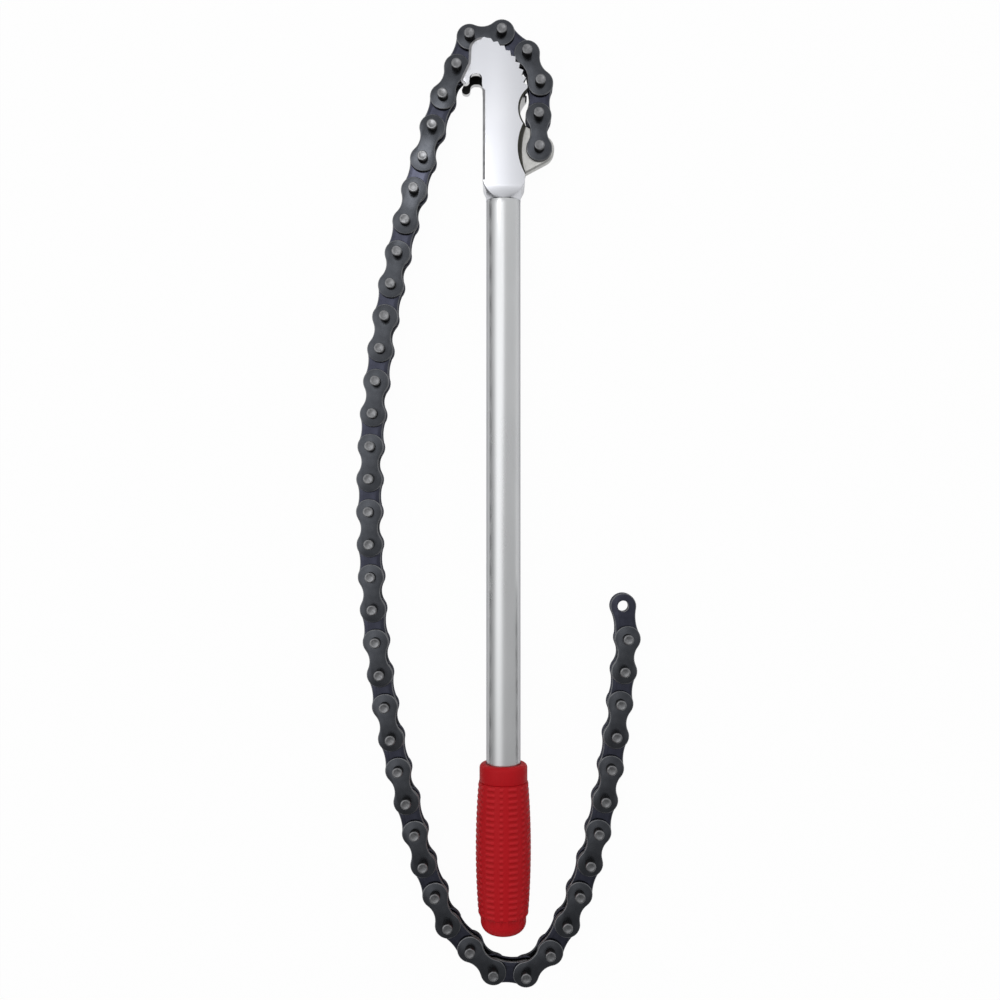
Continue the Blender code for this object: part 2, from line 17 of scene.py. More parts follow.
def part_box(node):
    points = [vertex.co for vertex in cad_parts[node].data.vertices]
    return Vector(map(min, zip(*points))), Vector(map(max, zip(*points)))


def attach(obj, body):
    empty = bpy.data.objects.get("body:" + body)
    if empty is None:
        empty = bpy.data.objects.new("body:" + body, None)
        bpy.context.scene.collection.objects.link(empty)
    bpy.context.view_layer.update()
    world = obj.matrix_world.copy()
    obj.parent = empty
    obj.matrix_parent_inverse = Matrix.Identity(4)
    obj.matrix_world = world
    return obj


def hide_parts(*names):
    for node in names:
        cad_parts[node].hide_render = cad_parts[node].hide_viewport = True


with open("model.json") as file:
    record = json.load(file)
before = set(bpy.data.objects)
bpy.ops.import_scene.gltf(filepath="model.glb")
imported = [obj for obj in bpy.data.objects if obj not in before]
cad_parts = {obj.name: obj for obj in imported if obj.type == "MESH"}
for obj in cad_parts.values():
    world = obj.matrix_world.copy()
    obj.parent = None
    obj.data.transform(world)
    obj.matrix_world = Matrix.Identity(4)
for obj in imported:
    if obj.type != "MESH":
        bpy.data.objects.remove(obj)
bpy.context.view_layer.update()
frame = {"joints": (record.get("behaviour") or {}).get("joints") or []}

# The part's own sizes
CHAIN_PITCH = 0.01905
PLATE_END_RADIUS = 0.0076
OUTER_WAIST_HALF = 0.0049
INNER_WAIST_HALF = 0.0061
PLATE_THICKNESS = 0.0016
INNER_LINK_WIDTH = 0.0074
PIN_RADIUS = 0.003
PIN_LENGTH = 0.0222
BUSH_WALL = 0.0011
RUNNING_GAP = 0.0003
CHAIN_WIDTH = INNER_LINK_WIDTH + 2 * (RUNNING_GAP + PLATE_THICKNESS)
SIDE_CLEARANCE = 0.0006
CHEEK_THICKNESS = 0.0045
SLOT_WIDTH = CHAIN_WIDTH + 2 * SIDE_CLEARANCE
HEAD_THICKNESS = SLOT_WIDTH + 2 * CHEEK_THICKNESS
LUG_THICKNESS = INNER_LINK_WIDTH + 2 * RUNNING_GAP - 2 * SIDE_CLEARANCE
LUG_X = 0.0209
LUG_LIFT = 0.0003
NECK_TOP = 0.0202
NECK_LENGTH = 0.0099
SHANK_LENGTH = 0.022
TUBE_RADIUS = 0.010
TUBE_WALL = 0.002
TUBE_LENGTH = 0.4243
TUBE_START = -NECK_TOP - NECK_LENGTH - RUNNING_GAP
GRIP_COVER = 0.0956
GRIP_END_WALL = 0.0034
GRIP_START = TUBE_START - TUBE_LENGTH + GRIP_COVER
GRIP_END = GRIP_START - GRIP_COVER - RUNNING_GAP - GRIP_END_WALL
COLLAR_RADIUS = 0.0140
COLLAR_LENGTH = 0.0106
TAIL_RADIUS = 0.0133
TAIL_LENGTH = 0.0118
MOUTH_ROUNDING = 0.0025
BUTT_ROUNDING = 0.0068
BUTT_DOME = 0.0010
RIB_RADIUS = 0.0146
RIB_START = GRIP_START - COLLAR_LENGTH
RIB_END = GRIP_END + TAIL_LENGTH
BELLY_RADIUS = 0.0162
BELLY_SHARE = 0.5
BELLY_Y = RIB_START + (RIB_END - RIB_START) * BELLY_SHARE

joints = frame["joints"]
pivots = [Vector(joint["pos_m"]) for joint in joints]
lug_pin = pivots[0]
end_low, end_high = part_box("inner_link_48")
# The hole in the chain's free end lies opposite the last pivot, across the last link's middle
pivots.append((Vector(end_low) + Vector(end_high)) - pivots[-1])

# The handle rises a little towards the grip, which is thicker than the chain
handle_rise = BELLY_RADIUS - PIN_LENGTH / 2 - LUG_LIFT
handle_tilt = Matrix.Rotation(-math.asin(handle_rise / -BELLY_Y), 4, "X")
handle_frame = Matrix.Translation(lug_pin + Vector((-LUG_X, 0, LUG_LIFT))) @ handle_tilt


# Materials

NOISE_LOW = 0.3
NOISE_HIGH = 0.7

# How much noise joins the height that paints shade on the fillet, and the relief that paints shade and
# highlight on the rubber
FILLET_RUFFLE = 0.3
RUBBER_CLOUDS = 0.16


def new_material(name, colour, roughness, metallic):
    """A plain material, with its nodes, its links and its shader."""
    material = bpy.data.materials.new(name)
    material.use_nodes = True
    shader = material.node_tree.nodes["Principled BSDF"]
    shader.inputs["Base Color"].default_value = (*colour, 1)
    shader.inputs["Roughness"].default_value = roughness
    shader.inputs["Metallic"].default_value = metallic
    return material, material.node_tree.nodes, material.node_tree.links, shader


def object_coordinates(nodes, links, scale=(1, 1, 1)):
    """The object's own coordinates, stretched."""
    source = nodes.new("ShaderNodeTexCoord")
    mapping = nodes.new("ShaderNodeMapping")
    mapping.inputs["Scale"].default_value = scale
    links.new(source.outputs["Object"], mapping.inputs["Vector"])
    return mapping.outputs["Vector"]


def noise(nodes, links, vector, scale, detail, roughness=0.55):
    """A cloudy noise from 0 to 1."""
    texture = nodes.new("ShaderNodeTexNoise")
    texture.inputs["Scale"].default_value = scale
    texture.inputs["Detail"].default_value = detail
    texture.inputs["Roughness"].default_value = roughness
    links.new(vector, texture.inputs["Vector"])
    return texture.outputs["Fac"]


def ramp(nodes, links, value, stops):
    """Colours along a value: stops are (place, colour)."""
    node = nodes.new("ShaderNodeValToRGB")
    elements = node.color_ramp.elements
    while len(elements) < len(stops):
        elements.new(0.5)
    for element, (place, colour) in zip(elements, stops):
        element.position = place
        element.color = (*colour, 1)
    links.new(value, node.inputs["Fac"])
    return node.outputs["Color"]


def spread(nodes, links, value, low, high):
    """A noise, nearly all of it between NOISE_LOW and NOISE_HIGH, taken to a range from low to high."""
    node = nodes.new("ShaderNodeMapRange")
    node.inputs["From Min"].default_value = NOISE_LOW
    node.inputs["From Max"].default_value = NOISE_HIGH
    node.inputs["To Min"].default_value = low
    node.inputs["To Max"].default_value = high
    links.new(value, node.inputs["Value"])
    return node.outputs["Result"]


def bump(nodes, links, shader, height, distance, strength):
    """Small bumps in the shader's surface."""
    node = nodes.new("ShaderNodeBump")
    node.inputs["Strength"].default_value = strength
    node.inputs["Distance"].default_value = distance
    links.new(height, node.inputs["Height"])
    links.new(node.outputs["Normal"], shader.inputs["Normal"])


def clouded_material(name, colour, roughness, metallic, clouds, stops, grain=None):
    """A material whose colour follows clouds of noise, with fine bumps where a grain is given.

    Clouds are the noise's scale, detail and, where it isn't the usual one, roughness. A grain is the
    bumps' scale, distance and strength.
    """
    material, nodes, links, shader = new_material(name, colour, roughness, metallic)
    vector = object_coordinates(nodes, links)
    field = noise(nodes, links, vector, *clouds)
    links.new(ramp(nodes, links, field, stops), shader.inputs["Base Color"])
    if grain:
        scale, distance, strength = grain
        bump(nodes, links, shader, noise(nodes, links, vector, scale, 3), distance, strength)
    return material


def steel_material(name, dark, light, roughness):
    """Chemically blackened steel: cloudy colour, and a faint tumbled grain."""
    material, nodes, links, shader = new_material(name, light, roughness, 1)
    vector = object_coordinates(nodes, links)
    clouds = noise(nodes, links, vector, 220, 4)
    links.new(ramp(nodes, links, clouds, [(0.3, dark), (0.72, light)]), shader.inputs["Base Color"])
    grain = noise(nodes, links, vector, 1500, 2)
    dulled = spread(nodes, links, grain, roughness - 0.02, roughness + 0.03)
    links.new(dulled, shader.inputs["Roughness"])
    bump(nodes, links, shader, noise(nodes, links, vector, 2600, 2), 0.00002, 0.15)
    return material


# The chain's four materials go by these numbers in its meshes
STEEL, WORN, PEENED, SHADED = range(4)

black_oxide = steel_material("black_oxide", (0.062, 0.066, 0.075), (0.084, 0.089, 0.100), 0.25)
blued = steel_material("blued_steel", (0.040, 0.042, 0.058), (0.060, 0.063, 0.088), 0.24)
worn_edge = steel_material("worn_black_edge", (0.13, 0.135, 0.145), (0.24, 0.245, 0.255), 0.36)

# The pins' peened ends: bare bright steel, mottled by the hammering
pin_end = clouded_material(
    "peened_pin_end",
    (0.30, 0.30, 0.31),
    0.30,
    1,
    (700, 4, 0.65),
    [(0.3, (0.15, 0.152, 0.158)), (0.7, (0.31, 0.314, 0.325))],
    (900, 0.00005, 0.5),
)

# Painted shade: a near-black for the pins' and bushes' sides, which lie in the shade between the plates,
# and for the plates' side walls
side_shade = new_material("side_shade", (0.028, 0.028, 0.030), 0.5, 0.8)[0]

# The head's four materials go by these numbers in its mesh, and the lug takes the first two
FACE, EDGE_SHADE, BRIGHT, GREY_SHADE = range(4)

# The head's satin nickel plate, with a faint cloudy colour
nickel = clouded_material(
    "satin_nickel_plate",
    (0.80, 0.80, 0.82),
    0.27,
    1,
    (28, 3),
    [(0.25, (0.73, 0.742, 0.79)), (0.75, (0.79, 0.80, 0.84))],
)

# Painted shade: a near-black for the chamfers along the scallops and for the lug's upper rim
edge_shade = clouded_material(
    "edge_shade",
    (0.05, 0.05, 0.04),
    0.5,
    0.4,
    (300, 4),
    [(0.3, (0.022, 0.022, 0.016)), (0.7, (0.060, 0.060, 0.046))],
    (1200, 0.00004, 0.5),
)

# Painted shade: a darker grey on the chamfer along the head's left edge, nose and crown, for the dark
# surroundings that this rounding reflects
grey_edge_shade = clouded_material(
    "grey_edge_shade",
    (0.28, 0.28, 0.29),
    0.32,
    1,
    (260, 4),
    [(0.3, (0.20, 0.20, 0.21)), (0.7, (0.36, 0.36, 0.37))],
    (1200, 0.00003, 0.4),
)


def fillet_material():
    """The lower scallop's foot, in painted shade: darkest under the cheek, paler where it meets the lug's
    face.
    """
    material, nodes, links, shader = new_material("fillet_shade", (0.06, 0.06, 0.05), 0.5, 0.4)
    vector = object_coordinates(nodes, links)
    split = nodes.new("ShaderNodeSeparateXYZ")
    links.new(vector, split.inputs["Vector"])
    height = nodes.new("ShaderNodeMapRange")
    height.inputs["From Min"].default_value = PIN_LENGTH / 2 + LUG_THICKNESS / 2
    height.inputs["From Max"].default_value = PIN_LENGTH / 2 + HEAD_THICKNESS / 2
    links.new(split.outputs["Z"], height.inputs["Value"])
    ruffle = nodes.new("ShaderNodeMath")
    ruffle.operation = "MULTIPLY_ADD"
    ruffle.inputs[1].default_value = FILLET_RUFFLE
    links.new(noise(nodes, links, vector, 500, 4), ruffle.inputs[0])
    links.new(height.outputs["Result"], ruffle.inputs[2])
    # Painted shade, darkest at the top under the cheek
    stops = [(0.1, (0.34, 0.33, 0.28)), (0.35, (0.10, 0.10, 0.075)), (0.8, (0.022, 0.022, 0.017))]
    links.new(ramp(nodes, links, ruffle.outputs[0], stops), shader.inputs["Base Color"])
    bump(nodes, links, shader, noise(nodes, links, vector, 1200, 3), 0.00004, 0.5)
    return material


fillet_shade = fillet_material()


def wall_material():
    """The milled and plated side walls of the head, smoother than its blasted faces."""
    material, nodes, links, shader = new_material("bright_wall", (0.93, 0.93, 0.93), 0.14, 1)
    vector = object_coordinates(nodes, links)
    clouds = noise(nodes, links, vector, 120, 3)
    links.new(
        ramp(nodes, links, clouds, [(0.3, (0.91, 0.91, 0.92)), (0.7, (0.95, 0.95, 0.95))]),
        shader.inputs["Base Color"],
    )
    links.new(spread(nodes, links, clouds, 0.12, 0.18), shader.inputs["Roughness"])
    return material


bright_wall = wall_material()

# The lug's faces and rim: a duller, shot-blasted nickel
lug_nickel = clouded_material(
    "blasted_nickel",
    (0.72, 0.72, 0.70),
    0.42,
    1,
    (420, 4, 0.6),
    [(0.3, (0.58, 0.58, 0.565)), (0.7, (0.72, 0.72, 0.70))],
    (1500, 0.00006, 0.5),
)

# Painted shade: a near-black for the slot's inside and the lug's bore
slot_shade = clouded_material(
    "slot_shade",
    (0.010, 0.010, 0.010),
    0.6,
    0.2,
    (160, 3),
    [(0.3, (0.006, 0.006, 0.006)), (0.7, (0.018, 0.018, 0.017))],
)


def chrome_material():
    """Satin chrome on a drawn tube: faint lines along it and a cloudy polish."""
    material, nodes, links, shader = new_material("satin_chrome", (0.70, 0.71, 0.72), 0.28, 1)
    shader.inputs["Specular Tint"].default_value = (0.5, 0.5, 0.52, 1)
    lines = noise(nodes, links, object_coordinates(nodes, links, (1, 0.02, 1)), 700, 3)
    clouds = noise(nodes, links, object_coordinates(nodes, links, (1, 0.3, 1)), 60, 3)
    links.new(
        ramp(nodes, links, clouds, [(0.3, (0.67, 0.68, 0.69)), (0.7, (0.73, 0.74, 0.75))]),
        shader.inputs["Base Color"],
    )
    links.new(spread(nodes, links, clouds, 0.26, 0.32), shader.inputs["Roughness"])
    bump(nodes, links, shader, lines, 0.000004, 0.3)
    return material


chrome = chrome_material()


def rubber_material():
    """Moulded red rubber, with painted shade in the grooves between the ribs and a painted highlight on
    the high spots.
    """
    material, nodes, links, shader = new_material("moulded_red_rubber", (0.55, 0.008, 0.012), 0.5, 0)
    shader.inputs["Specular IOR Level"].default_value = 0.17
    vector = object_coordinates(nodes, links)
    relief = nodes.new("ShaderNodeAttribute")
    relief.attribute_name = "relief"
    clouds = noise(nodes, links, vector, 60, 4)
    mix = nodes.new("ShaderNodeMath")
    mix.operation = "MULTIPLY_ADD"
    mix.inputs[1].default_value = RUBBER_CLOUDS
    links.new(clouds, mix.inputs[0])
    links.new(relief.outputs["Fac"], mix.inputs[2])
    # Painted shade in the grooves and a painted highlight on the ribs, set by the relief
    stops = [(0.05, (0.41, 0.004, 0.007)), (0.5, (0.475, 0.005, 0.010)), (1.0, (0.555, 0.013, 0.020))]
    links.new(ramp(nodes, links, mix.outputs[0], stops), shader.inputs["Base Color"])
    patches = noise(nodes, links, vector, 300, 3)
    links.new(spread(nodes, links, patches, 0.46, 0.6), shader.inputs["Roughness"])
    bump(nodes, links, shader, noise(nodes, links, vector, 1400, 3), 0.00004, 0.4)
    return material


red_rubber = rubber_material()


# Mesh helpers

MITRE_LIMIT = 0.5


def finish_mesh(name, bm, materials, sharp):
    """A smooth mesh from a bmesh, whose edges stay sharp where they bend by more than an angle."""
    bmesh.ops.recalc_face_normals(bm, faces=bm.faces)
    mesh = bpy.data.meshes.new(name)
    bm.to_mesh(mesh)
    bm.free()
    mesh.shade_smooth()
    mesh.set_sharp_from_angle(angle=sharp)
    for material in materials:
        mesh.materials.append(material)
    return mesh


def place_piece(name, mesh, matrix, body, slot, *nodes):
    """A mesh as a piece that rides on a body and stands for the nodes."""
    obj = bpy.data.objects.new(name, mesh)
    bpy.context.scene.collection.objects.link(obj)
    obj.matrix_world = matrix
    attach(obj, body)
    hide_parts(*nodes)
    return obj


def polar(x, y, radius, angle):
    """The point at a radius and an angle from (x, y)."""
    return (x + radius * math.cos(angle), y + radius * math.sin(angle))


def arc(x, y, radius, start, end, count):
    """Points on an arc round (x, y), both ends with them."""
    return [polar(x, y, radius, start + (end - start) * i / (count - 1)) for i in range(count)]


def circle(x, radius, sides):
    """Points on a full circle round (x, 0)."""
    return arc(x, 0, radius, 0, 2 * math.pi, sides + 1)[:-1]


def ring(bm, points, z):
    """New vertices on an outline at a height."""
    return [bm.verts.new((x, y, z)) for x, y in points]


def add_wall(bm, lower, upper, material=0):
    """Faces between two closed rings of vertices."""
    for i, corner in enumerate(lower):
        j = (i + 1) % len(lower)
        face = bm.faces.new((corner, lower[j], upper[j], upper[i]))
        face.material_index = material


def add_cap(bm, loops):
    """A flat face with holes: the first loop is its outline."""
    corners = [vert for loop in loops for vert in loop]
    for triangle in tessellate_polygon([[vert.co for vert in loop] for loop in loops]):
        bm.faces.new([corners[i] for i in triangle])


def inset(points, distance):
    """A closed outline moved inwards by a distance. The outline runs counterclockwise."""
    moved = []
    count = len(points)
    for i in range(count):
        before = Vector(points[i - 1])
        here = Vector(points[i])
        after = Vector(points[(i + 1) % count])
        first = (here - before).normalized()
        second = (after - here).normalized()
        inwards = Vector((-first.y - second.y, first.x + second.x))
        reach = distance / max(inwards.length / 2, MITRE_LIMIT)
        moved.append(tuple(here + inwards.normalized() * reach))
    return moved


# The chain

PLATE_END_POINTS = 22
WAIST_POINTS = 9
HOLE_SIDES = 24
LINK_SHARP = math.radians(50)
PLATE_EDGE = 0.0005
PLATE_EDGE_SHARES = ((0, 1.0), (0.13, 0.5), (0.5, 0.13), (1.0, 0))


def plate_outline(waist_half):
    """A figure of eight: two round ends joined by a waist that curves in and meets them smoothly."""
    half = CHAIN_PITCH / 2
    gain = PLATE_END_RADIUS - waist_half
    waist_radius = (half * half + waist_half**2 - PLATE_END_RADIUS**2) / (2 * gain)
    centre = waist_half + waist_radius
    meet = math.atan2(centre, half)
    points = arc(0, 0, PLATE_END_RADIUS, meet, 2 * math.pi - meet, PLATE_END_POINTS)
    points += arc(half, -centre, waist_radius, math.pi - meet, meet, WAIST_POINTS)[1:-1]
    points += arc(CHAIN_PITCH, 0, PLATE_END_RADIUS, meet - math.pi, math.pi - meet, PLATE_END_POINTS)
    points += arc(half, centre, waist_radius, -meet, meet - math.pi, WAIST_POINTS)[1:-1]
    return points


def add_plate(bm, waist_half, low, high, holes=()):
    """A plate between two heights, with holes as (x, radius). Its rim is worn on the outward side, and its
    side wall takes the painted shade.
    """
    outline = plate_outline(waist_half)
    rows = [(low + PLATE_EDGE * drop, PLATE_EDGE * shift) for drop, shift in PLATE_EDGE_SHARES]
    rows += [(high - PLATE_EDGE * drop, PLATE_EDGE * shift) for drop, shift in PLATE_EDGE_SHARES[::-1]]
    rings = [ring(bm, inset(outline, shift) if shift else outline, z) for z, shift in rows]
    # The side wall, between the two roundings, takes the painted shade
    finishes = [STEEL] * 3 + [SHADED] + [WORN] * 3
    if low < 0:
        finishes.reverse()
    for lower, upper, finish in zip(rings, rings[1:], finishes):
        add_wall(bm, lower, upper, finish)
    lows, highs = [rings[0]], [rings[-1]]
    for x, radius in holes:
        hole = circle(x, radius, HOLE_SIDES)
        lows.append(ring(bm, hole, low))
        highs.append(ring(bm, hole, high))
        add_wall(bm, lows[-1], highs[-1])
    add_cap(bm, lows)
    add_cap(bm, highs)


def add_turned(bm, x, profile, sides, materials):
    """A solid turned about the pin axis at x. Its profile runs from the lower middle to the upper."""
    rings = []
    for radius, z in profile:
        if radius == 0:
            rings.append([bm.verts.new((x, 0, z))])
        else:
            rings.append(ring(bm, circle(x, radius, sides), z))
    for lower, upper, material in zip(rings, rings[1:], materials):
        if len(lower) == 1 or len(upper) == 1:
            tip, rim = (lower[0], upper) if len(lower) == 1 else (upper[0], lower)
            for i, corner in enumerate(rim):
                face = bm.faces.new((tip, corner, rim[(i + 1) % len(rim)]))
                face.material_index = material
        else:
            add_wall(bm, lower, upper, material)


# The peened end's profile as steps from the pin's rim: how far inwards, and how far below the end
PIN_END_STEPS = ((0, 0.00045), (0.00012, 0.00018), (0.00045, 0), (0.0009, 0.00003), (0.0014, 0.00018))
PIN_DISH_DEPTH = 0.00022
PIN_SIDES = 28


def outer_link_mesh():
    """Two outer plates and two pins with peened ends: a raised rim round a shallow dish."""
    bm = bmesh.new()
    outside = CHAIN_WIDTH / 2
    inside = outside - PLATE_THICKNESS
    add_plate(bm, OUTER_WAIST_HALF, -outside, -inside)
    add_plate(bm, OUTER_WAIST_HALF, inside, outside)
    end = PIN_LENGTH / 2
    top = [(PIN_RADIUS - inwards, end - down) for inwards, down in PIN_END_STEPS]
    top.append((0, end - PIN_DISH_DEPTH))
    profile = [(radius, -z) for radius, z in top[::-1]] + top
    # The pins' sides take the painted shade
    materials = [PEENED] * 5 + [SHADED] + [PEENED] * 5
    for x in (0, CHAIN_PITCH):
        add_turned(bm, x, profile, PIN_SIDES, materials)
    return finish_mesh("outer_link_detail", bm, (black_oxide, worn_edge, pin_end, side_shade), LINK_SHARP)


def inner_link_mesh():
    """Two inner plates and two bushes, with the bores open."""
    bm = bmesh.new()
    outside = INNER_LINK_WIDTH / 2
    inside = outside - PLATE_THICKNESS
    bore = PIN_RADIUS + RUNNING_GAP
    holes = [(0, bore), (CHAIN_PITCH, bore)]
    add_plate(bm, INNER_WAIST_HALF, -outside, -inside, holes)
    add_plate(bm, INNER_WAIST_HALF, inside, outside, holes)
    # The bushes' sides take the painted shade
    for x in (0, CHAIN_PITCH):
        for radius in (bore, bore + BUSH_WALL):
            loop = circle(x, radius, HOLE_SIDES)
            add_wall(bm, ring(bm, loop, -inside), ring(bm, loop, inside), SHADED)
    return finish_mesh("inner_link_detail", bm, (blued, worn_edge, pin_end, side_shade), LINK_SHARP)


def make_chain():
    """Each link lies from its own pivot to the next one."""
    outer = outer_link_mesh()
    inner = inner_link_mesh()
    for i, joint in enumerate(joints):
        step = pivots[i + 1] - pivots[i]
        matrix = Matrix.Translation(pivots[i]) @ Matrix.Rotation(math.atan2(step.y, step.x), 4, "Z")
        number = f"{i + 1:02d}"
        if i % 2:
            kind, mesh, slot = "inner", inner, "blued_steel"
        else:
            kind, mesh, slot = "outer", outer, "black_oxide_steel"
        place_piece(f"fine_{kind}_{number}", mesh, matrix, joint["child"], slot, f"{kind}_link_{number}")


make_chain()


# The handle's tube

TUBE_EDGE = 0.0003
TUBE_EDGE_SHARE = 0.3
TUBE_END_RING = 0.003
TUBE_SIDES = 96
TUBE_SHARP = math.radians(32)
FREE_END_HALF = 0.0045
FREE_END_EASE = 0.003


def make_tube():
    """The tube. It meets the neck at its sides, and its rounded end stands free of the neck's flat."""
    end = TUBE_START - TUBE_LENGTH
    bore = TUBE_RADIUS - TUBE_WALL
    profile = [
        (TUBE_RADIUS - TUBE_EDGE, TUBE_START),
        (TUBE_RADIUS - TUBE_EDGE * TUBE_EDGE_SHARE, TUBE_START - TUBE_EDGE * TUBE_EDGE_SHARE),
        (TUBE_RADIUS, TUBE_START - TUBE_EDGE),
        (TUBE_RADIUS, TUBE_START - TUBE_END_RING),
        (TUBE_RADIUS, end + TUBE_END_RING),
        (TUBE_RADIUS, end),
        (bore, end),
        (bore, TUBE_START),
    ]
    bm = bmesh.new()
    rings = []
    for radius, y in profile:
        loop = []
        for i in range(TUBE_SIDES):
            x, z = polar(0, 0, radius, 2 * math.pi * i / TUBE_SIDES)
            loop.append(bm.verts.new((x, y, z)))
        rings.append(loop)
    for lower, upper in zip(rings, [*rings[1:], rings[0]]):
        add_wall(bm, lower, upper)
    for vert in bm.verts:
        if vert.co.y > TUBE_START - 2 * TUBE_EDGE:
            aside = min(max((abs(vert.co.x) - FREE_END_HALF) / FREE_END_EASE, 0), 1)
            vert.co.y += (RUNNING_GAP + TUBE_EDGE) * aside
    bm.transform(handle_frame)
    mesh = finish_mesh("fine_tube", bm, (chrome,), TUBE_SHARP)
    place_piece("fine_tube", mesh, Matrix.Identity(4), "wrench", "satin_chrome", "handle_tube")


make_tube()


# The handle's grip

RIB_SECTORS = 7
SECTOR_CELLS = 24
RIB_ROWS = 23
RIB_HEIGHT = 0.00045
CELLS_ALONG = 6
FIRST_COLUMN_ANGLE = math.radians(94.5)
NARROW_HALF = math.radians(5)
WIDE_HALF = math.radians(11.2)
COLUMN_RAMP = math.radians(3)
RIB_HALF_SHARE = 0.36
RIB_RAMP_SHARE = 0.2
PLAIN_RELIEF = 0.45
COLLAR_STEPS = ((0, 0.0006), (0.0001, 0.0003), (0.0004, 0.0001))
TAIL_STEP = 0.0005
MOUTH_DEPTH = 0.02
MOUTH_POINTS = 9
BUTT_POINTS = 13
GRIP_SHARP = math.radians(60)


def belly_radius(y):
    """The grip's outer radius over the ribs at a place on the handle's axis."""
    away = (y - BELLY_Y) / (RIB_START - BELLY_Y)
    return BELLY_RADIUS - (BELLY_RADIUS - RIB_RADIUS) * away * away


def smooth(share):
    """A share from 0 to 1, eased at both ends."""
    share = min(max(share, 0), 1)
    return share * share * (3 - 2 * share)


def rib_height(angle, row_share):
    """The relief from 0 in a groove to 1 on a rib: narrow and wide columns in turn, plain in between."""
    sector = 2 * math.pi / RIB_SECTORS
    turn = (angle - FIRST_COLUMN_ANGLE + sector / 2) % sector - sector / 2
    from_narrow = abs(turn)
    from_wide = sector / 2 - abs(turn)
    narrow = smooth((NARROW_HALF - from_narrow) / COLUMN_RAMP)
    wide = smooth((WIDE_HALF - from_wide) / COLUMN_RAMP)
    rib = smooth((RIB_HALF_SHARE - abs(row_share - 0.5)) / RIB_RAMP_SHARE)
    column = max(narrow, wide)
    return PLAIN_RELIEF * (1 - column) + rib * column


def make_grip():
    """The grip: smooth collar, a step to the ribs, rings of ribs, smooth tail and rounded butt."""
    bore = TUBE_RADIUS + RUNNING_GAP
    mouth = MOUTH_ROUNDING
    collar = COLLAR_RADIUS
    tail = TAIL_RADIUS
    butt = BUTT_ROUNDING
    butt_y = GRIP_END + BUTT_DOME + butt
    sides = RIB_SECTORS * SECTOR_CELLS
    # A plain station gives its radius and a ribbed one its place counted in rows, and both their y
    stations = []
    for radius, y in arc(collar - mouth, GRIP_START - mouth, mouth, math.pi / 2, 0, MOUTH_POINTS):
        stations.append(("plain", radius, y))
    stations.append(("plain", collar, GRIP_START - COLLAR_LENGTH / 2))
    for drop, rise in COLLAR_STEPS:
        stations.append(("plain", collar - drop, RIB_START + rise))
    count = RIB_ROWS * CELLS_ALONG
    for i in range(count + 1):
        stations.append(("ribs", i / CELLS_ALONG, RIB_START + (RIB_END - RIB_START) * i / count))
    stations.append(("plain", tail, RIB_END - TAIL_STEP))
    for radius, y in arc(tail - butt, butt_y, butt, 0, -math.pi / 2, BUTT_POINTS):
        stations.append(("plain", radius, y))
    bm = bmesh.new()
    # The relief shapes the ribs and also sets the rubber's painted shade and highlight
    relief = bm.verts.layers.float.new("relief")
    rings = []
    for kind, value, y in stations:
        loop = []
        for i in range(sides):
            angle = 2 * math.pi * i / sides
            radius = value
            height = PLAIN_RELIEF
            if kind == "ribs":
                height = rib_height(angle, value % 1)
                radius = belly_radius(y) - RIB_HEIGHT * (1 - height)
            x, z = polar(0, 0, radius, angle)
            vert = bm.verts.new((x, y, z))
            vert[relief] = height
            loop.append(vert)
        rings.append(loop)
    for lower, upper in zip(rings, rings[1:]):
        add_wall(bm, lower, upper)
    tip = bm.verts.new((0, GRIP_END, 0))
    tip[relief] = PLAIN_RELIEF
    for i, corner in enumerate(rings[-1]):
        bm.faces.new((tip, corner, rings[-1][(i + 1) % sides]))
    inner_mouth = []
    inner_end = []
    for i in range(sides):
        x, z = polar(0, 0, bore, 2 * math.pi * i / sides)
        inner_mouth.append(bm.verts.new((x, GRIP_START, z)))
        inner_end.append(bm.verts.new((x, GRIP_START - MOUTH_DEPTH, z)))
    add_wall(bm, rings[0], inner_mouth)
    add_wall(bm, inner_mouth, inner_end)
    bm.faces.new(inner_end)
    bm.transform(handle_frame)
    mesh = finish_mesh("fine_grip", bm, (red_rubber,), GRIP_SHARP)
    place_piece("fine_grip", mesh, Matrix.Identity(4), "wrench", "red_rubber", "grip_sleeve")


make_grip()


# The jaw head

HEAD_LEFT = 0.0120
HEAD_RIGHT = 0.0138
SHOULDER_BOTTOM = 0.0316
CUSP_X = 0.0125
CUSP_Y = 0.0125
SCALLOP_FOOT_Y = 0.0146
UPPER_SCALLOP_DEPTH = 0.0037
LOWER_SCALLOP_DEPTH = 0.0033
UPPER_SCALLOP_POINTS = 18
LOWER_SCALLOP_POINTS = 20
TOOTH_ARC_X = 0.020
TOOTH_ARC_Y = 0.030
TOOTH_ARC_RADIUS = 0.0343
TOOTH_COUNT = 8
FIRST_TOOTH_ANGLE = math.radians(68.5)
LAST_TOOTH_ANGLE = math.radians(8)
FIRST_TOOTH_DEPTH = 0.0013
LAST_TOOTH_DEPTH = 0.0021
TOOTH_ROOT_SHARE = 0.55
CROWN_X = 0.0126
CROWN_Y = 0.0554
CROWN_RADIUS = 0.0074
CROWN_START = math.radians(184)
CROWN_END = math.radians(66)
CROWN_POINTS = 22
FLANK_X = 0.0203
FLANK_Y = 0.0480
NOSE_X = 0.0222
NOSE_Y = 0.0382
NOSE_RADIUS = 0.0025
NOSE_END = math.radians(150) - 2 * math.pi
NOSE_POINTS = 20
NOTCH_CLEARANCE = 0.0013
NOTCH_WIDTH = 2 * PIN_RADIUS + NOTCH_CLEARANCE
NOTCH_TOP = 0.0417
NOTCH_CORNER_RADIUS = 0.003
NOTCH_CORNER_POINTS = 9
NOTCH_LIP_DROP = 0.0025
SLOT_FLOOR = 0.0305
LUG_RADIUS = 0.0089
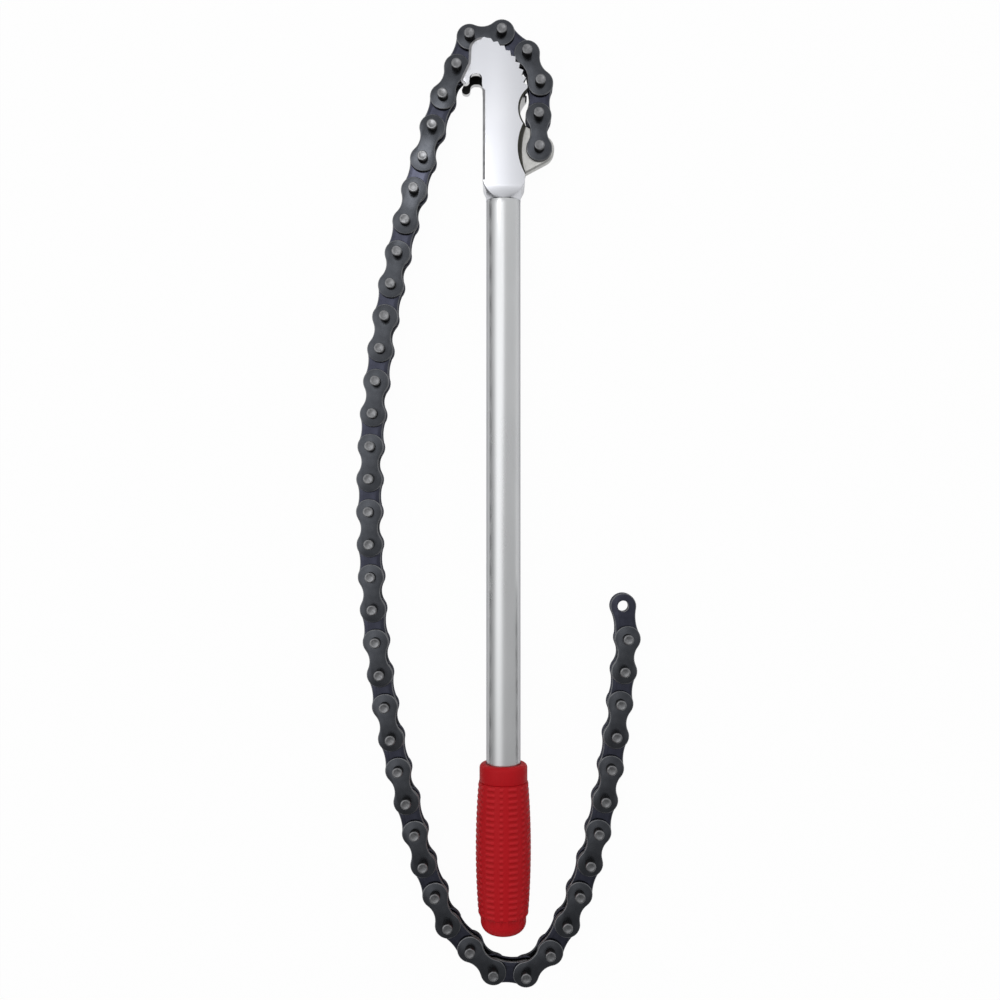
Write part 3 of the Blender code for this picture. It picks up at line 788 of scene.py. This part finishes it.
LUG_POINTS = 34
LUG_BORE_CLEARANCE = 0.00035
LUG_BORE_SIDES = 32
LUG_CHAMFER = 0.0009
LUG_ROOT_X = 0.006
LUG_ROOT_TOP = 0.0175
LUG_ROOT_BOTTOM = 0.0180
CHAMFER_WIDTH = 0.0010
CHAMFER_DEPTH = 0.0008
EDGE_CHAMFER_WIDTH = 0.0014
EDGE_CHAMFER_DEPTH = 0.0012

# The bow of the head's faces: its curvature, how far across it runs, and the ease beyond
FACE_BEND = 7.0
FACE_BEND_END = 0.012
FACE_EASE = 0.006

# The lower scallop's foot, which carries painted shade: its width, and where its slope breaks
FILLET_MIDDLE = 0.0017
FILLET_END = 0.0006
FILLET_SHOULDER_ASIDE_SHARE = 0.4
FILLET_SHOULDER_HEIGHT_SHARE = 0.42

# The grid that the two faces are cut into before they are bowed
GRID_LEFT = -0.026
GRID_ACROSS = 0.0012
GRID_COLUMNS = 34
GRID_ALONG = 0.003
GRID_ROWS = 29

CUT_OVERRUN = 0.002
TINY = 0.000001
FACE_SKIN = 4 * TINY
FLAT_NORMAL = 0.99
HEAD_SHARP = math.radians(28)


def scallop(start, end, depth, count):
    """The inner points of an arc from start to end that bows to the right of that way by depth."""
    a = Vector(start)
    b = Vector(end)
    chord = b - a
    half = chord.length / 2
    radius = (half * half + depth * depth) / (2 * depth)
    right = Vector((chord.y, -chord.x)).normalized()
    centre = (a + b) / 2 + right * (depth - radius)
    first = math.atan2(a.y - centre.y, a.x - centre.x)
    sweep = 2 * math.asin(min(half / radius, 1))
    return arc(centre.x, centre.y, radius, first, first + sweep, count)[1:-1]


def tooth_points():
    """Saw teeth: each tip lies on the tooth arc and each root inside it."""
    reach = (FIRST_TOOTH_ANGLE, LAST_TOOTH_ANGLE)
    tips = arc(-TOOTH_ARC_X, TOOTH_ARC_Y, TOOTH_ARC_RADIUS, *reach, TOOTH_COUNT + 1)
    deepening = (LAST_TOOTH_DEPTH - FIRST_TOOTH_DEPTH) / (TOOTH_COUNT - 1)
    points = []
    for i in range(TOOTH_COUNT):
        tip = tips[i]
        edge = Vector(tips[i + 1]) - Vector(tip)
        inwards = Vector((edge.y, -edge.x)).normalized()
        root = Vector(tip) + edge * TOOTH_ROOT_SHARE + inwards * (FIRST_TOOTH_DEPTH + deepening * i)
        points += [tip, tuple(root)]
    return [*points, tips[-1]]


def cheek_outline():
    """The cheek, clockwise from the crown: teeth, scallops, left edge, notch, nose and flank."""
    notch_left = -NOSE_X + NOSE_RADIUS
    notch_right = notch_left + NOTCH_WIDTH
    corner = NOTCH_CORNER_RADIUS
    corner_y = NOTCH_TOP - corner
    quarter = math.pi / 2
    shoulder_foot = (HEAD_RIGHT, SHOULDER_BOTTOM)
    cusp = (CUSP_X, CUSP_Y)
    scallop_foot = (CUSP_X, -SCALLOP_FOOT_Y)
    lip_y = NOSE_Y - NOSE_RADIUS
    return [
        *arc(-CROWN_X, CROWN_Y, CROWN_RADIUS, CROWN_START, CROWN_END, CROWN_POINTS),
        *tooth_points(),
        shoulder_foot,
        *scallop(shoulder_foot, cusp, UPPER_SCALLOP_DEPTH, UPPER_SCALLOP_POINTS),
        cusp,
        *scallop(cusp, scallop_foot, LOWER_SCALLOP_DEPTH, LOWER_SCALLOP_POINTS),
        scallop_foot,
        (CUSP_X, -NECK_TOP),
        (-HEAD_LEFT, -NECK_TOP),
        (-HEAD_LEFT, lip_y - NOTCH_LIP_DROP - EDGE_CHAMFER_WIDTH),
        (-HEAD_LEFT, lip_y - NOTCH_LIP_DROP),
        (notch_right, lip_y),
        *arc(notch_right - corner, corner_y, corner, 0, quarter, NOTCH_CORNER_POINTS),
        *arc(notch_left + corner, corner_y, corner, quarter, 2 * quarter, NOTCH_CORNER_POINTS),
        *arc(-NOSE_X, NOSE_Y, NOSE_RADIUS, 0, NOSE_END, NOSE_POINTS),
        (-FLANK_X, FLANK_Y),
    ]


def prism(outline, thickness, wall=0):
    """A flat outline made thick, centred on z = 0. Its wall takes the material numbered wall."""
    bm = bmesh.new()
    lower = ring(bm, outline, -thickness / 2)
    upper = ring(bm, outline, thickness / 2)
    add_wall(bm, lower, upper, wall)
    bm.faces.new(lower)
    bm.faces.new(upper)
    bmesh.ops.recalc_face_normals(bm, faces=bm.faces)
    return bm


def chamfer_edges(bm, thickness, wanted, width, depth, material):
    """Chamfers those edges of the two flat faces whose middle point is wanted."""
    edges = []
    for edge in bm.edges:
        a, b = (vert.co for vert in edge.verts)
        if abs(a.z - b.z) < TINY and wanted((a + b) / 2):
            edges.append(edge)
    bmesh.ops.bevel(
        bm, geom=edges, offset=width, segments=1, affect="EDGES", clamp_overlap=False, material=material
    )
    half = thickness / 2
    for vert in bm.verts:
        if abs(abs(vert.co.z) - (half - width)) < TINY:
            vert.co.z = math.copysign(half - depth, vert.co.z)


def on_outer_edge(point):
    """Whether a point lies on the cheek's left edge, nose or crown."""
    left_edge = point.x < -HEAD_LEFT + TINY and point.y < NOSE_Y - NOSE_RADIUS - NOTCH_LIP_DROP
    nose = point.x < -NOSE_X and point.y > NOSE_Y - NOSE_RADIUS
    crown = point.x < -CROWN_X and point.y > NOTCH_TOP
    return left_edge or nose or crown


def on_scallop(point):
    """Whether a point lies on the cheek's scalloped side."""
    return point.x > 0 and -SCALLOP_FOOT_Y < point.y < SHOULDER_BOTTOM


def fillet_bmesh(side):
    """The sloping foot of the lower scallop, from the cheek's edge out to the lug's face, which carries
    painted shade.
    """
    cusp = (CUSP_X, CUSP_Y)
    foot = (CUSP_X, -SCALLOP_FOOT_Y)
    points = [cusp, *scallop(cusp, foot, LOWER_SCALLOP_DEPTH, LOWER_SCALLOP_POINTS), foot]
    high = HEAD_THICKNESS / 2 - CHAMFER_DEPTH
    low = LUG_THICKNESS / 2
    bm = bmesh.new()
    rings = []
    for i, (x, y) in enumerate(points):
        share = i / (len(points) - 1)
        width = FILLET_END + (FILLET_MIDDLE - FILLET_END) * math.sin(math.pi * share)
        inside = x - FILLET_END
        shoulder_x = x + width * FILLET_SHOULDER_ASIDE_SHARE
        shoulder_z = low + (high - low) * FILLET_SHOULDER_HEIGHT_SHARE
        section = [(inside, high), (x, high), (shoulder_x, shoulder_z), (x + width, low)]
        section += [(x + width, low - FILLET_END), (inside, low - FILLET_END)]
        rings.append([bm.verts.new((px, y, side * pz)) for px, pz in section])
    for lower, upper in zip(rings, rings[1:]):
        add_wall(bm, lower, upper)
    bm.faces.new(rings[0])
    bm.faces.new(rings[-1])
    return bm


def lug_outline():
    """The lug's round end, with straight sides that run back into the head."""
    top = (LUG_ROOT_X, LUG_ROOT_TOP)
    bottom = (LUG_ROOT_X, -LUG_ROOT_BOTTOM)

    def tangent_angle(root, side):
        offset = Vector(root) - Vector((LUG_X, 0))
        return math.atan2(offset.y, offset.x) - side * math.acos(LUG_RADIUS / offset.length)

    upper = tangent_angle(top, 1)
    lower = tangent_angle(bottom, -1)
    return [bottom, *arc(LUG_X, 0, LUG_RADIUS, lower, upper, LUG_POINTS), top]


def face_drop(x):
    """How far the forged face lies below its highest line: bowed at first, then easing to flat."""
    across = min(abs(x), FACE_BEND_END)
    beyond = min(max(abs(x) - FACE_BEND_END, 0), FACE_EASE)
    return FACE_BEND * (across * across / 2 + FACE_BEND_END * beyond * (1 - beyond / (2 * FACE_EASE)))


def bow_faces(bm):
    """Cuts the head's two flat faces into a grid and bows them."""
    top = HEAD_THICKNESS / 2
    cuts = [((1, 0, 0), GRID_LEFT + GRID_ACROSS * i) for i in range(GRID_COLUMNS)]
    cuts += [((0, 1, 0), -NECK_TOP + GRID_ALONG * i) for i in range(GRID_ROWS)]
    for normal, place in cuts:
        faces = []
        for face in bm.faces:
            if abs(face.normal.z) > FLAT_NORMAL and abs(face.calc_center_median().z) > top - FACE_SKIN:
                faces.append(face)
        edges = dict.fromkeys(edge for face in faces for edge in face.edges)
        verts = dict.fromkeys(vert for face in faces for vert in face.verts)
        point = Vector(normal) * place
        cut = [*verts, *edges, *faces]
        bmesh.ops.bisect_plane(bm, geom=cut, dist=TINY, plane_co=point, plane_no=normal)
    middle = (CUSP_X - HEAD_LEFT) / 2
    for vert in bm.verts:
        if abs(vert.co.z) > top - CHAMFER_DEPTH - FACE_SKIN:
            vert.co.z -= math.copysign(face_drop(vert.co.x - middle), vert.co.z)


NECK_RINGS = 24
NECK_FLAT_CELLS = 8
NECK_ROUND_CELLS = 10
NECK_BRIM_ROUNDS = 3
NECK_END_RADIUS = 0.0101
NECK_TURN_GAIN = 0.0057
NECK_TURN_REACH = 0.0107
NECK_BEND_REACH = 0.0066
NECK_DROP = 0.00115
NECK_CROWN = 0.0002
NECK_NARROW_START = 0.0095
NECK_NARROW_END = 0.003
NECK_BEND_POWER = 1.4
NECK_BURIED_SCALE = 0.95
NECK_BURIED_DEPTH = 0.0004


def neck_quarter(distance):
    """A quarter of the neck's section at a distance from its end: flat top, turned corner, flat side."""
    reach = min(distance / NECK_TURN_REACH, 1)
    radius = NECK_END_RADIUS + NECK_TURN_GAIN * reach * (2 - reach)
    wide = (HEAD_LEFT + CUSP_X) / 2 - 2 * TINY
    narrowing = smooth((distance - NECK_NARROW_END) / (NECK_NARROW_START - NECK_NARROW_END))
    half_width = NECK_END_RADIUS - TINY + (wide - NECK_END_RADIUS) * narrowing
    bend = max(1 - distance / NECK_BEND_REACH, 0) ** NECK_BEND_POWER
    crest = HEAD_THICKNESS / 2 - 2 * TINY - NECK_DROP * bend
    brim = crest - NECK_CROWN * bend
    for _ in range(NECK_BRIM_ROUNDS):
        top_reach = math.sqrt(radius * radius - brim * brim)
        brim = crest - NECK_CROWN * bend - face_drop(top_reach) * (1 - bend)
    top_reach = math.sqrt(radius * radius - brim * brim)
    side_reach = math.sqrt(radius * radius - half_width * half_width)
    points = []
    for i in range(NECK_FLAT_CELLS):
        share = i / NECK_FLAT_CELLS
        points.append((top_reach * share, crest + (brim - crest) * share * share))
    top_angle = math.atan2(brim, top_reach)
    side_angle = math.atan2(side_reach, half_width)
    points += arc(0, 0, radius, top_angle, side_angle, NECK_ROUND_CELLS + 1)
    points += [(half_width, side_reach * (1 - i / NECK_FLAT_CELLS)) for i in range(1, NECK_FLAT_CELLS)]
    return points


def neck_section(distance):
    """The neck's full section: its quarter and the three mirror images."""
    quarter = neck_quarter(distance)
    side = quarter[-1][0]
    first = [*quarter, (side, 0)]
    second = [(x, -y) for x, y in quarter[::-1]]
    third = [(-x, -y) for x, y in quarter[1:]] + [(-side, 0)]
    fourth = [(-x, y) for x, y in quarter[:0:-1]]
    return [*first, *second, *third, *fourth]


def neck_bmesh():
    """A loft from the flat head's section to the tube's round one, and the shank below it."""
    shank_radius = TUBE_RADIUS - TUBE_WALL - RUNNING_GAP
    middle_x = (CUSP_X - HEAD_LEFT) / 2
    buried = [(x * NECK_BURIED_SCALE, z * NECK_BURIED_SCALE) for x, z in neck_section(NECK_LENGTH)]
    sections = [(-NECK_TOP + NECK_BURIED_DEPTH, middle_x, buried)]
    for i in range(NECK_RINGS):
        distance = NECK_LENGTH * (1 - i / (NECK_RINGS - 1))
        centre = middle_x * distance / NECK_LENGTH
        sections.append((-NECK_TOP - NECK_LENGTH + distance, centre, neck_section(distance)))
    neck_end = -NECK_TOP - NECK_LENGTH
    shank = []
    for x, z in neck_section(0):
        shrink = shank_radius / math.hypot(x, z)
        shank.append((shrink * x, shrink * z))
    sections.append((neck_end, 0, shank))
    sections.append((neck_end - SHANK_LENGTH, 0, shank))
    bm = bmesh.new()
    rings = [[bm.verts.new((centre + x, y, z)) for x, z in outline] for y, centre, outline in sections]
    for lower, upper in zip(rings, rings[1:]):
        add_wall(bm, lower, upper)
    bm.faces.new(rings[0])
    bm.faces.new(rings[-1])
    return bm


def carved(bm, materials, steps):
    """A mesh made from a solid by steps, each an operation, a solid and that solid's materials."""
    parts = []
    for solid, finishes in [(bm, materials), *((solid, finishes) for _, solid, finishes in steps)]:
        bmesh.ops.recalc_face_normals(solid, faces=solid.faces)
        mesh = bpy.data.meshes.new("solid")
        solid.to_mesh(mesh)
        solid.free()
        for finish in finishes:
            mesh.materials.append(finish)
        obj = bpy.data.objects.new("solid", mesh)
        bpy.context.scene.collection.objects.link(obj)
        parts.append(obj)
    for (operation, *_), cutter in zip(steps, parts[1:]):
        modifier = parts[0].modifiers.new("step", "BOOLEAN")
        modifier.operation = operation
        modifier.object = cutter
        modifier.solver = "EXACT"
        modifier.material_mode = "TRANSFER"
    graph = bpy.context.evaluated_depsgraph_get()
    result = bpy.data.meshes.new_from_object(parts[0].evaluated_get(graph))
    for obj in parts:
        bpy.data.objects.remove(obj)
    return result


def make_jaw_head():
    """One forging: two cheeks with the chain's slot between them, the lug, the neck and its shank."""
    body = prism(cheek_outline(), HEAD_THICKNESS, BRIGHT)
    # The chamfers of the left edge, nose and crown take the grey painted shade
    chamfer_edges(body, HEAD_THICKNESS, on_outer_edge, EDGE_CHAMFER_WIDTH, EDGE_CHAMFER_DEPTH, GREY_SHADE)
    # The scallops' chamfers take the near-black painted shade
    chamfer_edges(body, HEAD_THICKNESS, on_scallop, CHAMFER_WIDTH, CHAMFER_DEPTH, EDGE_SHADE)
    # The lower cheek's chamfer above the cusp keeps the bright wall instead of the painted shade
    for face in body.faces:
        middle = face.calc_center_median()
        if face.material_index == EDGE_SHADE and middle.z < 0 and middle.y > CUSP_Y:
            face.material_index = BRIGHT
    top = CROWN_Y + CROWN_RADIUS + CUT_OVERRUN
    left = -NOSE_X - NOSE_RADIUS - CUT_OVERRUN
    right = HEAD_RIGHT + CUT_OVERRUN
    slot = [(left, SLOT_FLOOR), (right, SLOT_FLOOR), (right, top), (left, top)]
    lug = prism(lug_outline(), LUG_THICKNESS)
    chamfer_edges(lug, LUG_THICKNESS, lambda point: point.x > CUSP_X, LUG_CHAMFER, LUG_CHAMFER, EDGE_SHADE)
    for vert in lug.verts:
        on_face = abs(vert.co.z) > LUG_THICKNESS / 2 - TINY
        if on_face and vert.co.y > LUG_RADIUS - LUG_CHAMFER and vert.co.x > CUSP_X:
            vert.co.y -= LUG_CHAMFER
    # Only the lug's upper rim keeps the painted shade; the rest of its chamfer takes the lug's nickel
    for face in lug.faces:
        if face.material_index == EDGE_SHADE and face.calc_center_median().y < LUG_RADIUS:
            face.material_index = FACE
    bore = circle(LUG_X, PIN_RADIUS + LUG_BORE_CLEARANCE, LUG_BORE_SIDES)
    blank = carved(
        body,
        (nickel, edge_shade, bright_wall, grey_edge_shade),
        [
            # The slot and the lug's bore take the painted shade inside
            ("DIFFERENCE", prism(slot, SLOT_WIDTH), (slot_shade,)),
            ("UNION", lug, (lug_nickel, edge_shade)),
            # The lower scallops' feet, in painted shade
            ("UNION", fillet_bmesh(1), (fillet_shade,)),
            ("UNION", fillet_bmesh(-1), (fillet_shade,)),
            ("DIFFERENCE", prism(bore, LUG_THICKNESS + 2 * CUT_OVERRUN), (slot_shade,)),
        ],
    )
    bowed = bmesh.new()
    bowed.from_mesh(blank)
    bow_faces(bowed)
    mesh = carved(bowed, tuple(blank.materials), [("UNION", neck_bmesh(), (nickel,))])
    mesh.name = "fine_jaw_head"
    mesh.transform(handle_frame)
    mesh.shade_smooth()
    mesh.set_sharp_from_angle(angle=HEAD_SHARP)
    head = place_piece("fine_jaw_head", mesh, Matrix.Identity(4), "wrench", "satin_nickel", "jaw_head")
    even = head.modifiers.new("even_normals", "WEIGHTED_NORMAL")
    even.keep_sharp = True


make_jaw_head()


# Floor, light and camera

FLOOR_HALF = 6
FLOOR_DROP = 0.0002
FLOOR_GLOW = (("Is Camera Ray", 0.97), ("Is Glossy Ray", 0.35), ("Is Transmission Ray", 0.35))


def make_floor():
    """A pale floor. The camera and the metal's gloss see it nearly white, with the faint shadow kept."""
    mesh = bpy.data.meshes.new("floor")
    bm = bmesh.new()
    bmesh.ops.create_grid(bm, x_segments=1, y_segments=1, size=FLOOR_HALF)
    bm.to_mesh(mesh)
    bm.free()
    floor = bpy.data.objects.new("floor", mesh)
    bpy.context.scene.collection.objects.link(floor)
    floor.location.z = -FLOOR_DROP
    material, nodes, links, shader = new_material("pale_floor", (0.86, 0.86, 0.86), 0.9, 0)
    shader.inputs["Specular IOR Level"].default_value = 0
    glow = nodes.new("ShaderNodeEmission")
    glow.inputs["Color"].default_value = (1, 1, 1, 1)
    glow.inputs["Strength"].default_value = 1
    path = nodes.new("ShaderNodeLightPath")
    total = None
    for kind, amount in FLOOR_GLOW:
        term = nodes.new("ShaderNodeMath")
        term.operation = "MULTIPLY_ADD"
        term.inputs[1].default_value = amount
        term.inputs[2].default_value = 0
        links.new(path.outputs[kind], term.inputs[0])
        if total is not None:
            links.new(total, term.inputs[2])
        total = term.outputs[0]
    mix = nodes.new("ShaderNodeMixShader")
    links.new(total, mix.inputs["Fac"])
    links.new(shader.outputs["BSDF"], mix.inputs[1])
    links.new(glow.outputs["Emission"], mix.inputs[2])
    links.new(mix.outputs["Shader"], nodes["Material Output"].inputs["Surface"])
    mesh.materials.append(material)


make_floor()

# The studio's levels of light, and where each fade starts and ends along one axis of a direction
BOX_LEVEL = 0.80
BOX_RIGHT = (-0.48, 0.12)
BOX_LOW_END = (-0.36, -0.13)
BOX_HIGH_END = (0.27, 0.40)
BOX_LEAN = 0.24
BOX_LEAN_ALONG = (-0.02, 0.16)
HORIZON = (0.0, 0.15)
LEFT_SIDE = (-1.07, -0.62)
WALL_LEVEL = 0.62
LEFT_LEVEL = 0.57
LOW_END_LEVEL = 0.66
HIGH_END_LEVEL = 1.12
WALL_ALONG = (-0.45, 0.3)
LOW_END_ALONG = (-0.42, -0.24)
HOT_LEVEL = 1.3
HOT_X = -0.07
HOT_Y = 0.29
HOT_FADE = (0.03, 0.10)


def make_world():
    """A pale studio: a soft box a little left of straight overhead, dimmer walls, and a hot spot."""
    world = bpy.data.worlds.new("studio")
    bpy.context.scene.world = world
    world.use_nodes = True
    nodes = world.node_tree.nodes
    links = world.node_tree.links

    def maths(operation, first, second=None):
        """One step of arithmetic on sockets or plain numbers."""
        node = nodes.new("ShaderNodeMath")
        node.operation = operation
        for socket, value in zip(node.inputs, (first, second)):
            if isinstance(value, (int, float)):
                socket.default_value = value
            elif value is not None:
                links.new(value, socket)
        return node.outputs[0]

    def fade(value, reach, first, last):
        """A smooth change from first to last while a value runs over its reach."""
        node = nodes.new("ShaderNodeMapRange")
        node.interpolation_type = "SMOOTHSTEP"
        for name, number in zip(("From Min", "From Max", "To Min", "To Max"), (*reach, first, last)):
            node.inputs[name].default_value = number
        links.new(value, node.inputs["Value"])
        return node.outputs["Result"]

    source = nodes.new("ShaderNodeTexCoord")
    split = nodes.new("ShaderNodeSeparateXYZ")
    links.new(source.outputs["Generated"], split.inputs["Vector"])
    x, y, z = split.outputs
    upper_half = fade(z, HORIZON, 0, 1)
    lean = fade(y, BOX_LEAN_ALONG, 0, BOX_LEAN)
    left_fade = fade(x, LEFT_SIDE, 0, 1)
    right_fade = fade(maths("SUBTRACT", x, lean), BOX_RIGHT, 1, 0)
    box_along = maths("MULTIPLY", fade(y, BOX_LOW_END, 0, 1), fade(y, BOX_HIGH_END, 1, 0))
    box_across = maths("MULTIPLY", left_fade, right_fade)
    box_light = maths("MULTIPLY", upper_half, BOX_LEVEL)
    box = maths("MULTIPLY", maths("MULTIPLY", box_across, box_along), box_light)
    away_x = maths("SUBTRACT", x, HOT_X)
    away_y = maths("SUBTRACT", y, HOT_Y)
    away = maths("ADD", maths("MULTIPLY", away_x, away_x), maths("MULTIPLY", away_y, away_y))
    hot = maths("MULTIPLY", fade(maths("SQRT", away), HOT_FADE, HOT_LEVEL, 0), upper_half)
    side = fade(x, LEFT_SIDE, LEFT_LEVEL, 1)
    ends = fade(y, WALL_ALONG, LOW_END_LEVEL, HIGH_END_LEVEL)
    ends = maths("MULTIPLY", ends, fade(y, LOW_END_ALONG, LOW_END_LEVEL, 1))
    wall = maths("MULTIPLY", maths("MULTIPLY", side, ends), WALL_LEVEL)
    back = nodes["Background"]
    back.inputs["Color"].default_value = (1, 1, 1, 1)
    links.new(maths("ADD", maths("ADD", wall, box), hot), back.inputs["Strength"])


make_world()


def add_light(name, place, target, size, power, glossy):
    """A round lamp that the camera doesn't see, aimed at a target."""
    data = bpy.data.lights.new(name, "AREA")
    data.shape = "DISK"
    data.size = size
    data.energy = power
    light = bpy.data.objects.new(name, data)
    bpy.context.scene.collection.objects.link(light)
    light.location = place
    light.rotation_euler = (Vector(target) - Vector(place)).to_track_quat("-Z", "Y").to_euler()
    light.visible_camera = False
    light.visible_glossy = glossy


add_light("overhead_soft", (-0.25, 0.25, 1.6), (0, 0, 0), size=0.8, power=3.2, glossy=False)

# A small near lamp gives the sheen on the chain to the left of the head
GLINT_FROM_LUG = (-0.0799, 0.0197)
GLINT_HEIGHT = 0.117
glint_x = lug_pin.x + GLINT_FROM_LUG[0]
glint_y = lug_pin.y + GLINT_FROM_LUG[1]
glint_place = (glint_x, glint_y, GLINT_HEIGHT)
add_light("near_glint", glint_place, (glint_x, glint_y, 0), size=0.052, power=0.0145, glossy=True)

CAMERA_FROM_LUG = (-0.0229, -0.2055)
CAMERA_HEIGHT = 0.631
LENS_MM = 37.9
SENSOR_MM = 36


def make_camera():
    """Straight down on the middle of the lay, at the photograph's distance and framing."""
    data = bpy.data.cameras.new("camera")
    data.lens = LENS_MM
    data.sensor_width = SENSOR_MM
    camera = bpy.data.objects.new("camera", data)
    bpy.context.scene.collection.objects.link(camera)
    camera.location = (lug_pin.x + CAMERA_FROM_LUG[0], lug_pin.y + CAMERA_FROM_LUG[1], CAMERA_HEIGHT)
    camera.rotation_euler = (0, 0, 0)
    bpy.context.scene.camera = camera


make_camera()
bpy.context.scene.view_settings.view_transform = "Standard"
